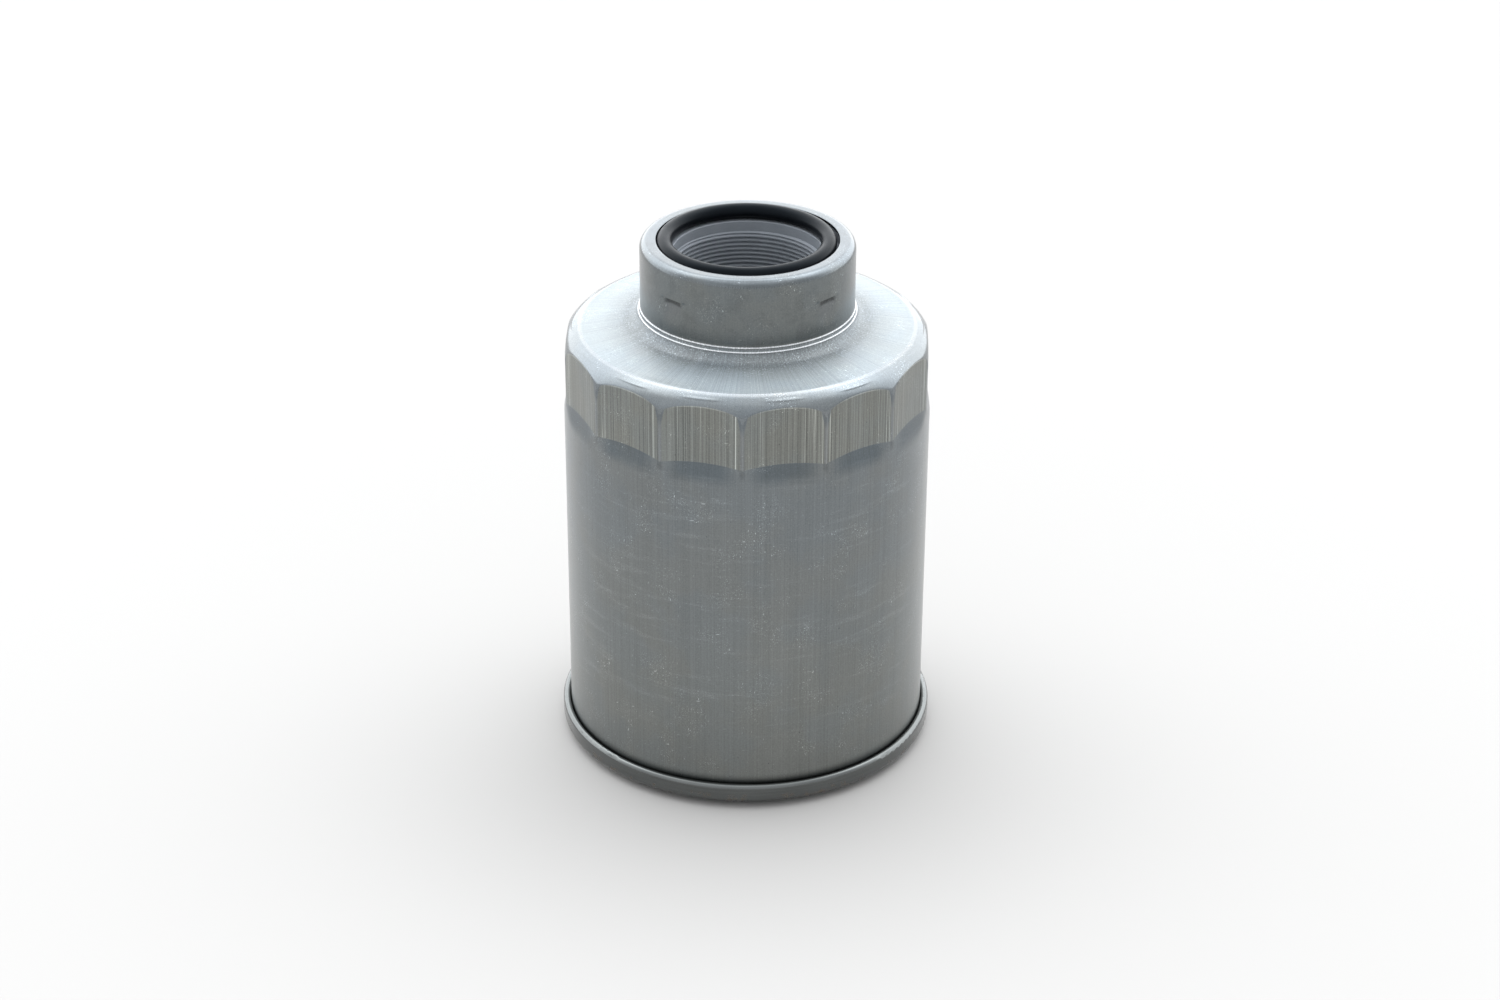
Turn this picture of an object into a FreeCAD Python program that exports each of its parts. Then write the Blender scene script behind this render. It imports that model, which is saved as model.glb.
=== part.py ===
import FreeCAD, Part
import math
import os

# Spin-on fuel filter canister, standing on its mounting gasket.
# Millimetres. The origin is the centre of the gasket's sealing face and +Z runs up to the neck port.

# Sheet thicknesses
SHEET = 0.6            # canister shell and seaming lid
CAP_SHEET = 0.5        # element end caps and centre tube
OVERCUT = 1.0          # how far a cutting shape runs past the face it opens

# Canister shell
BODY_R = 40.0          # outside of the drawn body
NECK_R = 23.2          # outside of the neck
LIP_TOP_Z = 117.5      # top of the lip folded over the neck insert
LIP_INNER_R = 19.7     # opening in the lip
NECK_TOP_ROUND = 1.85  # outside round from the neck wall to the lip
NECK_ROOT_ROUND = 3.2  # hollow round from the neck wall to the shoulder
SHOULDER_SLOPE = math.radians(7.8)
SHOULDER_R = 25.0      # radius at which the shoulder's height is given
SHOULDER_Z = 99.4      # shoulder height at that radius
SHOULDER_ROUND = 5.0   # outside round from the shoulder to the body
SEAM_JOIN_Z = 12.0     # level at which the drawn body meets the seam profile

# Wrench flats pressed into the shoulder end of the body
FLAT_COUNT = 14
FLAT_APOTHEM = 39.06
FLAT_BOTTOM_Z = 82.95  # lower end of the plane faces
RAMP_BOTTOM_Z = 78.56  # where the ramp under each flat reaches the body
FLAT_AZIMUTH = -78.44  # direction of the middle of the first flat, degrees from +X
FLAT_SPREAD = 6.0      # how far the ramps run on outward, clear of the body

# Staking dents that hold the insert in the neck
DENT_AZIMUTHS = (-133.0, -43.0, 47.0, 137.0)
DENT_HALF_WIDTH = 3.0
DENT_TOP_Z = 110.5
DENT_BOTTOM_Z = 104.5
DENT_DEPTH = 0.9

# Double seam at the mounting end: five sheet layers side by side
SEAM_OUTER_R = 41.8
SEAM_BOTTOM_Z = 1.5
SEAM_TOP_Z = 5.78
SEAM_CORNER = 1.1      # rounds at the bottom of the seam
HOOK_ROUND = 0.3       # inside bend of both hooks
BODY_HOOK_TOP_Z = 4.6
COVER_HOOK_END_Z = 3.1

# Seaming lid
LID_INNER_R = 26.0
LID_FLOOR_Z = 5.0      # underside of the lid, where the gasket is seated
CHANNEL_WALL_R = 36.1  # outside wall of the gasket channel
CHANNEL_LEDGE_Z = 3.2  # underside of the ledge outside the channel
BEND = 0.3             # inside bend of the lid's pressed steps
TAB_COUNT = 6
TAB_WIDTH = 4.0
TAB_FACE_R = 30.9      # outside face of the gasket tabs
TAB_FOOT_R = 31.8
TAB_BOTTOM_Z = 2.6
WINDOW_DEPTH = 1.6     # radial size of the window each tab is lanced from
WELD_COUNT = 8
WELD_R = 28.2          # circle of the spot-weld dimples
WELD_BALL_R = 4.0
WELD_DEPTH = 0.25

# Mounting gasket
GASKET_INNER_R = 31.0
GASKET_OUTER_R = 36.0
GASKET_ROUND = 0.5
GASKET_GROOVE_R = 31.95
GASKET_GROOVE_LOW = 2.5
GASKET_GROOVE_HIGH = 3.3

# Base plate with the threaded collar that screws onto the filter head
PLATE_R = 38.8
PLATE_THICK = 3.2
PLATE_BEVEL = 0.4
COLLAR_R = 12.5
COLLAR_TOP_Z = 16.5
COLLAR_ROOT = 1.0      # hollow round between plate and collar
COLLAR_BEVEL = 0.8
HEAD_THREAD_MINOR_R = 9.19
HEAD_THREAD_PITCH = 1.5
HEAD_LEAD = 0.9        # lead-in bevels at both ends of the head thread
INLET_COUNT = 8
INLET_R = 2.75
INLET_CIRCLE_R = 20.5

# Neck insert with the port thread and the O-ring seat
INSERT_BOTTOM_Z = 102.7
RING_SEAT_R = 19.85
RING_SEAT_Z = 114.85
LEAD_IN_R = 16.05      # plain bore above the thread
LEAD_IN_BOTTOM_Z = 112.5
LEAD_IN_TAPER = 0.55   # height of the taper from the plain bore to the thread
RING_SEAT_BREAK = 0.15 # broken edge between the ring seat and the bore
INSERT_BEVEL = 0.5
PORT_LEAD = 0.6        # lead-in bevel at the inner end of the port thread
PORT_THREAD_MINOR_R = 15.46
PORT_THREAD_PITCH = 1.0
RING_WIRE_R = 1.75
RING_MEAN_R = 17.6
RING_REST_GAP = 0.02   # keeps the round ring just clear of its flat seat
SEAL_GROOVE_R = 20.7   # floor of the groove for the seal between insert and neck
SEAL_GROOVE_Z = 112.0  # underside of that groove
SEAL_GROOVE_HEIGHT = 2.2
SEAL_HEIGHT = 2.0
SEAL_ROUND = 0.6

# Inside threads: 60 degree flanks, groove depth and flat widths as shares of the pitch
FLANK_ANGLE = math.radians(30.0)
THREAD_DEPTH = 0.5413
ROOT_FLAT = 0.125
GROOVE_MOUTH = 0.75
GROOVE_REACH = 0.3     # how far the cutting profile stands inside the minor radius

# Filter element
CAP_R = 35.0
OUTLET_CAP_Z = 11.5    # underside of the outlet end cap
OUTLET_CAP_HOLE_R = 15.0
CAP_RIM = 5.5          # height of the end cap rims
CAP_BEND = 1.0         # outside bend between an end cap's floor and its rim
CLOSED_CAP_Z = 82.0    # top of the closed end cap outside its boss
BOSS_R = 24.8          # foot of the boss that centres the spring
BOSS_RISE = 2.0
BOSS_SLOPE = 2.3       # radial run of the boss's sloping side
BOSS_INSET = 0.2       # how much smaller the boss is on its underside
TUBE_R = 17.0
TUBE_HOLE_R = 2.0
TUBE_ROWS = 8
TUBE_HOLES_PER_ROW = 12
TUBE_FIRST_ROW_Z = 20.0
TUBE_ROW_STEP = 8.0
TUBE_DRILL = 4.0       # length of the drill that opens each hole
MEDIA_BOTTOM_Z = 12.8
MEDIA_TOP_Z = 80.3
MEDIA_INNER_R = 17.25
MEDIA_OUTER_R = 33.6
MEDIA_THICK = 0.6
PLEAT_COUNT = 48
INNER_FOLD_R = 0.5     # bend of the pleats at the centre tube, at mid thickness
OUTER_FOLD_R = 0.85    # bend of the pleats at the outside, at mid thickness
OUTLET_POTTING_TOP_Z = 14.5
CLOSED_POTTING_BOTTOM_Z = 79.0
CLIP_THICK = 0.3
CLIP_DEPTH = 4.0
CLIP_END_GAP = 0.1     # space between each end of the clip and the potting

# Grommet between the outlet end cap and the collar
GROMMET_BORE_GAP = 0.1
GROMMET_LEAD = 1.3     # bevel that guides the grommet over the collar
GROMMET_ROUND = 0.3
GROMMET_LIP = 1.0      # how far its lip reaches over the end cap
GROMMET_LIP_HEIGHT = 0.7
GROMMET_TOP = 2.0      # height of its top above the end cap
GROMMET_TOP_INSET = 0.5

# Element spring
SPRING_WIRE_R = 1.0
SPRING_MEAN_R = 27.5
SPRING_TURNS = 4.0
SPRING_CLOSED_TURNS = 0.75
SPRING_GAP = 0.02      # free space under the shoulder
SPRING_TOUCH_GAP = 0.1 # space between the closed end turns
SPRING_STEPS = 24      # points on each turn of the wire's path


def point(radius, height):
    # Point of an outline in the plane through the axis.
    return FreeCAD.Vector(radius, 0.0, height)


def arc_between(start, end, centre, radius):
    # Shorter arc from start to end about a centre, all as (radius, height) pairs.
    middle_r = (start[0] + end[0]) / 2.0 - centre[0]
    middle_z = (start[1] + end[1]) / 2.0 - centre[1]
    reach = math.hypot(middle_r, middle_z)
    middle = (centre[0] + middle_r * radius / reach, centre[1] + middle_z * radius / reach)
    return Part.Arc(point(*start), point(*middle), point(*end)).toShape()


def outline(steps):
    # Closed face in the plane through the axis.
    # A step is (radius, height), or (radius, height, centre radius, centre height) for an arc to that point.
    edges = []
    previous = steps[0]
    for step in steps[1:] + [steps[0][:2]]:
        if len(step) == 4:
            size = math.hypot(step[0] - step[2], step[1] - step[3])
            edges.append(arc_between(previous[:2], step[:2], step[2:], size))
        else:
            edges.append(Part.makeLine(point(*previous[:2]), point(*step)))
        previous = step
    return Part.Face(Part.Wire(edges))


def turned(steps):
    # Solid of revolution about the vertical axis.
    axis_point = FreeCAD.Vector(0, 0, 0)
    return outline(steps).revolve(axis_point, FreeCAD.Vector(0, 0, 1), 360)


def turn(shape, degrees):
    # Copy of a shape turned about the vertical axis.
    copy = shape.copy()
    copy.rotate(FreeCAD.Vector(0, 0, 0), FreeCAD.Vector(0, 0, 1), degrees)
    return copy


def radial_prism(corners, half_width, degrees):
    # Bar whose (radius, height) outline is carried sideways, set at an angle about the axis.
    loop = [FreeCAD.Vector(r, -half_width, z) for r, z in corners]
    face = Part.Face(Part.makePolygon(loop + [loop[0]]))
    return turn(face.extrude(FreeCAD.Vector(0, 2.0 * half_width, 0)), degrees)


def shoulder_line(radius):
    # Height of the shoulder's straight slope.
    return SHOULDER_Z - math.tan(SHOULDER_SLOPE) * (radius - SHOULDER_R)


def drawn_form(inset):
    # Solid bounded by the drawn body, shoulder and neck, moved inward by a sheet thickness.
    # The rounds keep their centres, so both faces of the sheet stay parallel.
    sine = math.sin(SHOULDER_SLOPE)
    cosine = math.cos(SHOULDER_SLOPE)
    body = BODY_R - inset
    neck = NECK_R - inset
    top = LIP_TOP_Z - inset
    outer_c = (BODY_R - SHOULDER_ROUND, shoulder_line(BODY_R - SHOULDER_ROUND) - SHOULDER_ROUND / cosine)
    root_c = (NECK_R + NECK_ROOT_ROUND, shoulder_line(NECK_R + NECK_ROOT_ROUND) + NECK_ROOT_ROUND / cosine)
    lip_c = (NECK_R - NECK_TOP_ROUND, LIP_TOP_Z - NECK_TOP_ROUND)
    outer_size = SHOULDER_ROUND - inset
    root_size = NECK_ROOT_ROUND + inset
    return turned([
        (0.0, SEAM_JOIN_Z),
        (body, SEAM_JOIN_Z),
        (body, outer_c[1]),
        (outer_c[0] + outer_size * sine, outer_c[1] + outer_size * cosine) + outer_c,
        (root_c[0] - root_size * sine, root_c[1] - root_size * cosine),
        (neck, root_c[1]) + root_c,
        (neck, lip_c[1]),
        (lip_c[0], top) + lip_c,
        (0.0, top),
    ])


def flat_envelope(inset):
    # Many-sided column: plane flats at the shoulder end, widening below through the ramps.
    # The ramp plane is moved inward by the sheet thickness along its own normal.
    ramp_in = BODY_R - FLAT_APOTHEM
    ramp_down = FLAT_BOTTOM_Z - RAMP_BOTTOM_Z
    ramp_tilt = math.atan2(ramp_in, ramp_down)
    knee_z = FLAT_BOTTOM_Z - inset * math.tan(ramp_tilt / 2.0)
    apothems = (FLAT_APOTHEM - inset + FLAT_SPREAD, FLAT_APOTHEM - inset, FLAT_APOTHEM - inset)
    heights = (knee_z - FLAT_SPREAD * ramp_down / ramp_in, knee_z, LIP_TOP_Z + OVERCUT)
    wires = []
    for apothem, height in zip(apothems, heights):
        corner_r = apothem / math.cos(math.pi / FLAT_COUNT)
        loop = []
        for k in range(FLAT_COUNT):
            angle = math.radians(FLAT_AZIMUTH) + (k + 0.5) * 2.0 * math.pi / FLAT_COUNT
            loop.append(FreeCAD.Vector(corner_r * math.cos(angle), corner_r * math.sin(angle), height))
        wires.append(Part.makePolygon(loop + [loop[0]]))
    upper = Part.makeLoft(wires, True, True)
    reach = (apothems[0] + OVERCUT) / math.cos(math.pi / FLAT_COUNT)
    lower = Part.makeCylinder(reach, heights[0], FreeCAD.Vector(0, 0, 0))
    return upper.fuse(lower)


def dent_wedge(inset, azimuth):
    # Wedge that a staking dent takes out of the neck, or its offset on the inside of the sheet.
    floor_top = NECK_R - DENT_DEPTH - inset
    floor_bottom = NECK_R - inset
    return radial_prism(
        [
            (floor_top, DENT_TOP_Z + inset),
            (NECK_R + OVERCUT, DENT_TOP_Z + inset),
            (NECK_R + OVERCUT, DENT_BOTTOM_Z),
            (floor_bottom, DENT_BOTTOM_Z),
        ],
        DENT_HALF_WIDTH + inset,
        azimuth,
    )


def canister_shell():
    # Drawn can: wrench flats, dented neck and in-turned lip, with the body hook of the double seam.
    outside = drawn_form(0.0).common(flat_envelope(0.0))
    inside = drawn_form(SHEET).common(flat_envelope(SHEET))
    for azimuth in DENT_AZIMUTHS:
        outside = outside.cut(dent_wedge(0.0, azimuth))
        inside = inside.cut(dent_wedge(SHEET, azimuth))
    mouth_base = FreeCAD.Vector(0, 0, LIP_TOP_Z - SHEET - OVERCUT)
    mouth = Part.makeCylinder(LIP_INNER_R, SHEET + 2.0 * OVERCUT, mouth_base)
    wall_in = BODY_R - SHEET
    hook_in = BODY_R + SHEET
    hook_out = BODY_R + 2.0 * SHEET
    slot_z = SEAM_BOTTOM_Z + 2.0 * SHEET + HOOK_ROUND
    corner = SEAM_CORNER - SHEET
    low = SEAM_BOTTOM_Z + SHEET
    hook = turned([
        (wall_in, SEAM_JOIN_Z),
        (wall_in, low + corner),
        (wall_in + corner, low, wall_in + corner, low + corner),
        (hook_out - corner, low),
        (hook_out, low + corner, hook_out - corner, low + corner),
        (hook_out, BODY_HOOK_TOP_Z),
        (hook_in, BODY_HOOK_TOP_Z),
        (hook_in, slot_z),
        (BODY_R + HOOK_ROUND, slot_z - HOOK_ROUND, BODY_R + HOOK_ROUND, slot_z),
        (BODY_R, slot_z, BODY_R + HOOK_ROUND, slot_z),
        (BODY_R, SEAM_JOIN_Z),
    ])
    return outside.cut(inside).cut(mouth).fuse(hook).removeSplitter()


def seaming_lid():
    # Pressed ring: flat floor welded to the plate, gasket channel, ledge and the folded cover hook.
    top = LID_FLOOR_Z + SHEET
    wall_out = CHANNEL_WALL_R + SHEET
    ledge_top = CHANNEL_LEDGE_Z + SHEET
    big = BEND + SHEET
    chuck_out = BODY_R - SHEET
    chuck_in = chuck_out - SHEET
    base = SEAM_BOTTOM_Z + SEAM_CORNER
    inner_corner = SEAM_CORNER - SHEET
    panel_in = SEAM_OUTER_R - SHEET
    hook_out = BODY_R + SHEET
    fold_r = BODY_R + SHEET + HOOK_ROUND
    fold_z = SEAM_TOP_Z - SHEET - HOOK_ROUND
    step_r = CHANNEL_WALL_R + big
    turn_r = chuck_in - BEND
    ring = turned([
        (LID_INNER_R, LID_FLOOR_Z),
        (CHANNEL_WALL_R - BEND, LID_FLOOR_Z),
        (CHANNEL_WALL_R, LID_FLOOR_Z - BEND, CHANNEL_WALL_R - BEND, LID_FLOOR_Z - BEND),
        (CHANNEL_WALL_R, CHANNEL_LEDGE_Z + big),
        (step_r, CHANNEL_LEDGE_Z, step_r, CHANNEL_LEDGE_Z + big),
        (turn_r, CHANNEL_LEDGE_Z),
        (chuck_in, CHANNEL_LEDGE_Z - BEND, turn_r, CHANNEL_LEDGE_Z - BEND),
        (chuck_in, base),
        (chuck_in + SEAM_CORNER, SEAM_BOTTOM_Z, chuck_in + SEAM_CORNER, base),
        (SEAM_OUTER_R - SEAM_CORNER, SEAM_BOTTOM_Z),
        (SEAM_OUTER_R, base, SEAM_OUTER_R - SEAM_CORNER, base),
        (SEAM_OUTER_R, fold_z),
        (fold_r, SEAM_TOP_Z, fold_r, fold_z),
        (BODY_R, fold_z, fold_r, fold_z),
        (BODY_R, COVER_HOOK_END_Z),
        (hook_out, COVER_HOOK_END_Z),
        (hook_out, fold_z),
        (fold_r, fold_z + HOOK_ROUND, fold_r, fold_z),
        (panel_in, fold_z, fold_r, fold_z),
        (panel_in, base),
        (panel_in - inner_corner, SEAM_BOTTOM_Z + SHEET, panel_in - inner_corner, base),
        (chuck_out + inner_corner, SEAM_BOTTOM_Z + SHEET),
        (chuck_out, base, chuck_out + inner_corner, base),
        (chuck_out, CHANNEL_LEDGE_Z - BEND),
        (turn_r, ledge_top, turn_r, CHANNEL_LEDGE_Z - BEND),
        (step_r, ledge_top),
        (wall_out, CHANNEL_LEDGE_Z + big, step_r, CHANNEL_LEDGE_Z + big),
        (wall_out, LID_FLOOR_Z - BEND),
        (CHANNEL_WALL_R - BEND, top, CHANNEL_WALL_R - BEND, LID_FLOOR_Z - BEND),
        (LID_INNER_R, top),
    ])
    tab_in = TAB_FACE_R - SHEET
    tab_profile = [
        (tab_in, top),
        (tab_in, TAB_BOTTOM_Z),
        (TAB_FOOT_R, TAB_BOTTOM_Z),
        (TAB_FOOT_R, TAB_BOTTOM_Z + SHEET),
        (TAB_FACE_R, TAB_BOTTOM_Z + SHEET),
        (TAB_FACE_R, top),
    ]
    window_profile = [
        (tab_in - WINDOW_DEPTH, LID_FLOOR_Z - OVERCUT),
        (tab_in, LID_FLOOR_Z - OVERCUT),
        (tab_in, top + OVERCUT),
        (tab_in - WINDOW_DEPTH, top + OVERCUT),
    ]
    windows = []
    tabs = []
    for k in range(TAB_COUNT):
        angle = k * 360.0 / TAB_COUNT
        windows.append(radial_prism(window_profile, TAB_WIDTH / 2.0, angle))
        tabs.append(radial_prism(tab_profile, TAB_WIDTH / 2.0, angle))
    dimples = []
    for k in range(WELD_COUNT):
        angle = math.radians((k + 0.5) * 360.0 / WELD_COUNT)
        centre = FreeCAD.Vector(
            WELD_R * math.cos(angle),
            WELD_R * math.sin(angle),
            LID_FLOOR_Z + WELD_DEPTH - WELD_BALL_R,
        )
        dimples.append(Part.makeSphere(WELD_BALL_R, centre))
    return ring.cut(windows).cut(dimples).fuse(tabs).removeSplitter()


def seam_compound():
    # Ring of sealing compound in the space over the body hook.
    inner = BODY_R + SHEET
    outer = SEAM_OUTER_R - SHEET
    fold_r = inner + HOOK_ROUND
    fold_z = SEAM_TOP_Z - SHEET - HOOK_ROUND
    return turned([
        (inner, BODY_HOOK_TOP_Z),
        (outer, BODY_HOOK_TOP_Z),
        (outer, fold_z),
        (fold_r, fold_z + HOOK_ROUND, fold_r, fold_z),
        (inner, fold_z, fold_r, fold_z),
    ])


def mounting_gasket():
    # Moulded ring with rounded edges and an inside groove for the lid's tabs.
    edge = GASKET_ROUND
    return turned([
        (GASKET_INNER_R, edge),
        (GASKET_INNER_R + edge, 0.0, GASKET_INNER_R + edge, edge),
        (GASKET_OUTER_R - edge, 0.0),
        (GASKET_OUTER_R, edge, GASKET_OUTER_R - edge, edge),
        (GASKET_OUTER_R, LID_FLOOR_Z - edge),
        (GASKET_OUTER_R - edge, LID_FLOOR_Z, GASKET_OUTER_R - edge, LID_FLOOR_Z - edge),
        (GASKET_INNER_R + edge, LID_FLOOR_Z),
        (GASKET_INNER_R, LID_FLOOR_Z - edge, GASKET_INNER_R + edge, LID_FLOOR_Z - edge),
        (GASKET_INNER_R, GASKET_GROOVE_HIGH),
        (GASKET_GROOVE_R, GASKET_GROOVE_HIGH),
        (GASKET_GROOVE_R, GASKET_GROOVE_LOW),
        (GASKET_INNER_R, GASKET_GROOVE_LOW),
    ])


def thread_groove(minor_r, pitch, bottom, top):
    # Right-hand groove of an inside thread.
    depth = THREAD_DEPTH * pitch
    root_half = ROOT_FLAT * pitch / 2.0
    mouth_half = GROOVE_MOUTH * pitch / 2.0 + GROOVE_REACH * math.tan(FLANK_ANGLE)
    loop = [
        point(minor_r - GROOVE_REACH, -mouth_half),
        point(minor_r + depth, -root_half),
        point(minor_r + depth, root_half),
        point(minor_r - GROOVE_REACH, mouth_half),
    ]
    profile = Part.makePolygon(loop + [loop[0]])
    path = Part.Wire(Part.makeHelix(pitch, top - bottom, minor_r).Edges)
    groove = path.makePipeShell([profile], True, True)
    groove.translate(FreeCAD.Vector(0, 0, bottom))
    return groove


def base_plate():
    # Thick plate with eight inlet holes and a drawn collar threaded for the filter head.
    low = LID_FLOOR_Z + SHEET
    high = low + PLATE_THICK
    minor = HEAD_THREAD_MINOR_R
    root_r = COLLAR_R + COLLAR_ROOT
    root_z = high + COLLAR_ROOT
    body = turned([
        (minor + HEAD_LEAD, low),
        (PLATE_R - PLATE_BEVEL, low),
        (PLATE_R, low + PLATE_BEVEL),
        (PLATE_R, high - PLATE_BEVEL),
        (PLATE_R - PLATE_BEVEL, high),
        (root_r, high),
        (COLLAR_R, root_z, root_r, root_z),
        (COLLAR_R, COLLAR_TOP_Z - COLLAR_BEVEL),
        (COLLAR_R - COLLAR_BEVEL, COLLAR_TOP_Z),
        (minor + HEAD_LEAD, COLLAR_TOP_Z),
        (minor, COLLAR_TOP_Z - HEAD_LEAD),
        (minor, low + HEAD_LEAD),
    ])
    holes = []
    for k in range(INLET_COUNT):
        angle = math.radians(k * 360.0 / INLET_COUNT)
        centre = FreeCAD.Vector(
            INLET_CIRCLE_R * math.cos(angle), INLET_CIRCLE_R * math.sin(angle), low - OVERCUT
        )
        holes.append(Part.makeCylinder(INLET_R, PLATE_THICK + 2.0 * OVERCUT, centre))
    pitch = HEAD_THREAD_PITCH
    groove = thread_groove(minor, pitch, low - pitch, COLLAR_TOP_Z + pitch)
    return body.cut(holes).cut(groove)


def neck_insert():
    # Threaded bush held under the neck lip, with a stepped seat for the O-ring.
    outer = NECK_R - SHEET
    top = LIP_TOP_Z - SHEET
    corner = NECK_TOP_ROUND - SHEET
    minor = PORT_THREAD_MINOR_R
    body = turned([
        (minor + PORT_LEAD, INSERT_BOTTOM_Z),
        (outer - INSERT_BEVEL, INSERT_BOTTOM_Z),
        (outer, INSERT_BOTTOM_Z + INSERT_BEVEL),
        (outer, top - corner),
        (outer - corner, top, outer - corner, top - corner),
        (RING_SEAT_R, top),
        (RING_SEAT_R, RING_SEAT_Z),
        (LEAD_IN_R + RING_SEAT_BREAK, RING_SEAT_Z),
        (LEAD_IN_R, RING_SEAT_Z - RING_SEAT_BREAK),
        (LEAD_IN_R, LEAD_IN_BOTTOM_Z),
        (minor, LEAD_IN_BOTTOM_Z - LEAD_IN_TAPER),
        (minor, INSERT_BOTTOM_Z + PORT_LEAD),
    ])
    pitch = PORT_THREAD_PITCH
    groove = thread_groove(minor, pitch, INSERT_BOTTOM_Z - pitch, LEAD_IN_BOTTOM_Z + pitch)
    pockets = [dent_wedge(SHEET, azimuth) for azimuth in DENT_AZIMUTHS]
    high = SEAL_GROOVE_Z + SEAL_GROOVE_HEIGHT
    seal_groove = turned([
        (SEAL_GROOVE_R, SEAL_GROOVE_Z),
        (outer + OVERCUT, SEAL_GROOVE_Z),
        (outer + OVERCUT, high),
        (SEAL_GROOVE_R, high),
    ])
    return body.cut(pockets).cut(groove).cut(seal_groove)


def insert_seal_ring():
    # O-ring squeezed between the insert's groove and the neck wall.
    inner = SEAL_GROOVE_R
    outer = NECK_R - SHEET
    edge = SEAL_ROUND
    low = SEAL_GROOVE_Z + (SEAL_GROOVE_HEIGHT - SEAL_HEIGHT) / 2.0
    high = low + SEAL_HEIGHT
    return turned([
        (inner, low + edge),
        (inner + edge, low, inner + edge, low + edge),
        (outer - edge, low),
        (outer, low + edge, outer - edge, low + edge),
        (outer, high - edge),
        (outer - edge, high, outer - edge, high - edge),
        (inner + edge, high),
        (inner, high - edge, inner + edge, high - edge),
    ])


def neck_oring():
    # Round-section ring standing a little proud of the lip.
    height = RING_SEAT_Z + RING_WIRE_R + RING_REST_GAP
    return Part.makeTorus(RING_MEAN_R, RING_WIRE_R, FreeCAD.Vector(0, 0, height))


def outlet_end_cap():
    # Dished sheet cap with the hole for the grommet.
    low = OUTLET_CAP_Z
    rim = low + CAP_RIM
    inner = CAP_R - CAP_SHEET
    bend_r = CAP_R - CAP_BEND
    bend_z = low + CAP_BEND
    return turned([
        (OUTLET_CAP_HOLE_R, low),
        (bend_r, low),
        (CAP_R, bend_z, bend_r, bend_z),
        (CAP_R, rim),
        (inner, rim),
        (inner, bend_z),
        (bend_r, low + CAP_SHEET, bend_r, bend_z),
        (OUTLET_CAP_HOLE_R, low + CAP_SHEET),
    ])


def closed_end_cap():
    # Dished sheet cap with a raised boss that centres the spring.
    top = CLOSED_CAP_Z
    under = top - CAP_SHEET
    inner = CAP_R - CAP_SHEET
    rim = top - CAP_RIM
    bend_r = CAP_R - CAP_BEND
    bend_z = top - CAP_BEND
    under_boss_r = BOSS_R - BOSS_INSET
    return turned([
        (0.0, top + BOSS_RISE),
        (BOSS_R - BOSS_SLOPE, top + BOSS_RISE),
        (BOSS_R, top),
        (bend_r, top),
        (CAP_R, bend_z, bend_r, bend_z),
        (CAP_R, rim),
        (inner, rim),
        (inner, bend_z),
        (bend_r, under, bend_r, bend_z),
        (under_boss_r, under),
        (under_boss_r - BOSS_SLOPE, under + BOSS_RISE),
        (0.0, under + BOSS_RISE),
    ])


def centre_tube():
    # Perforated tube that holds the media up against the flow.
    bottom = OUTLET_CAP_Z + CAP_SHEET
    top = CLOSED_CAP_Z - CAP_SHEET + BOSS_RISE
    base = FreeCAD.Vector(0, 0, bottom)
    tube = Part.makeCylinder(TUBE_R, top - bottom, base)
    tube = tube.cut(Part.makeCylinder(TUBE_R - CAP_SHEET, top - bottom, base))
    holes = []
    for row in range(TUBE_ROWS):
        height = TUBE_FIRST_ROW_Z + row * TUBE_ROW_STEP
        for k in range(TUBE_HOLES_PER_ROW):
            angle = (k + 0.5 * (row % 2)) * 360.0 / TUBE_HOLES_PER_ROW
            start = FreeCAD.Vector(TUBE_R - TUBE_DRILL / 2.0, 0, height)
            drill = Part.makeCylinder(TUBE_HOLE_R, TUBE_DRILL, start, FreeCAD.Vector(1, 0, 0))
            holes.append(turn(drill, angle))
    return tube.cut(holes)


def pleat_wire(side):
    # Closed folded line at mid thickness, moved sideways by half the media's thickness.
    # Folds alternate between small arcs at the tube and larger arcs outside, joined by tangents.
    shift = side * MEDIA_THICK / 2.0
    inner_c = MEDIA_INNER_R + MEDIA_THICK / 2.0 + INNER_FOLD_R
    outer_c = MEDIA_OUTER_R - MEDIA_THICK / 2.0 - OUTER_FOLD_R
    inner_size = INNER_FOLD_R - shift
    outer_size = OUTER_FOLD_R + shift
    half_pitch = math.pi / PLEAT_COUNT
    reach_x = outer_c * math.cos(half_pitch) - inner_c
    reach_y = outer_c * math.sin(half_pitch)
    span = math.hypot(reach_x, reach_y)
    lean = math.atan2(reach_y, reach_x) - math.asin((INNER_FOLD_R + OUTER_FOLD_R) / span)
    normal = lean + math.pi / 2.0
    edges = []
    for k in range(PLEAT_COUNT):
        inner_dir = 2.0 * k * half_pitch
        outer_dir = inner_dir + half_pitch
        next_dir = inner_dir + 2.0 * half_pitch
        inner_mid = spot(inner_dir, inner_c, inner_dir + math.pi, inner_size)
        inner_start = spot(inner_dir, inner_c, inner_dir - normal, inner_size)
        inner_end = spot(inner_dir, inner_c, inner_dir + normal, inner_size)
        outer_start = spot(outer_dir, outer_c, inner_dir + normal + math.pi, outer_size)
        outer_mid = spot(outer_dir, outer_c, outer_dir, outer_size)
        outer_end = spot(outer_dir, outer_c, next_dir - normal + math.pi, outer_size)
        next_start = spot(next_dir, inner_c, next_dir - normal, inner_size)
        edges.append(Part.Arc(inner_start, inner_mid, inner_end).toShape())
        edges.append(Part.makeLine(inner_end, outer_start))
        edges.append(Part.Arc(outer_start, outer_mid, outer_end).toShape())
        edges.append(Part.makeLine(outer_end, next_start))
    return Part.Wire(edges)


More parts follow.
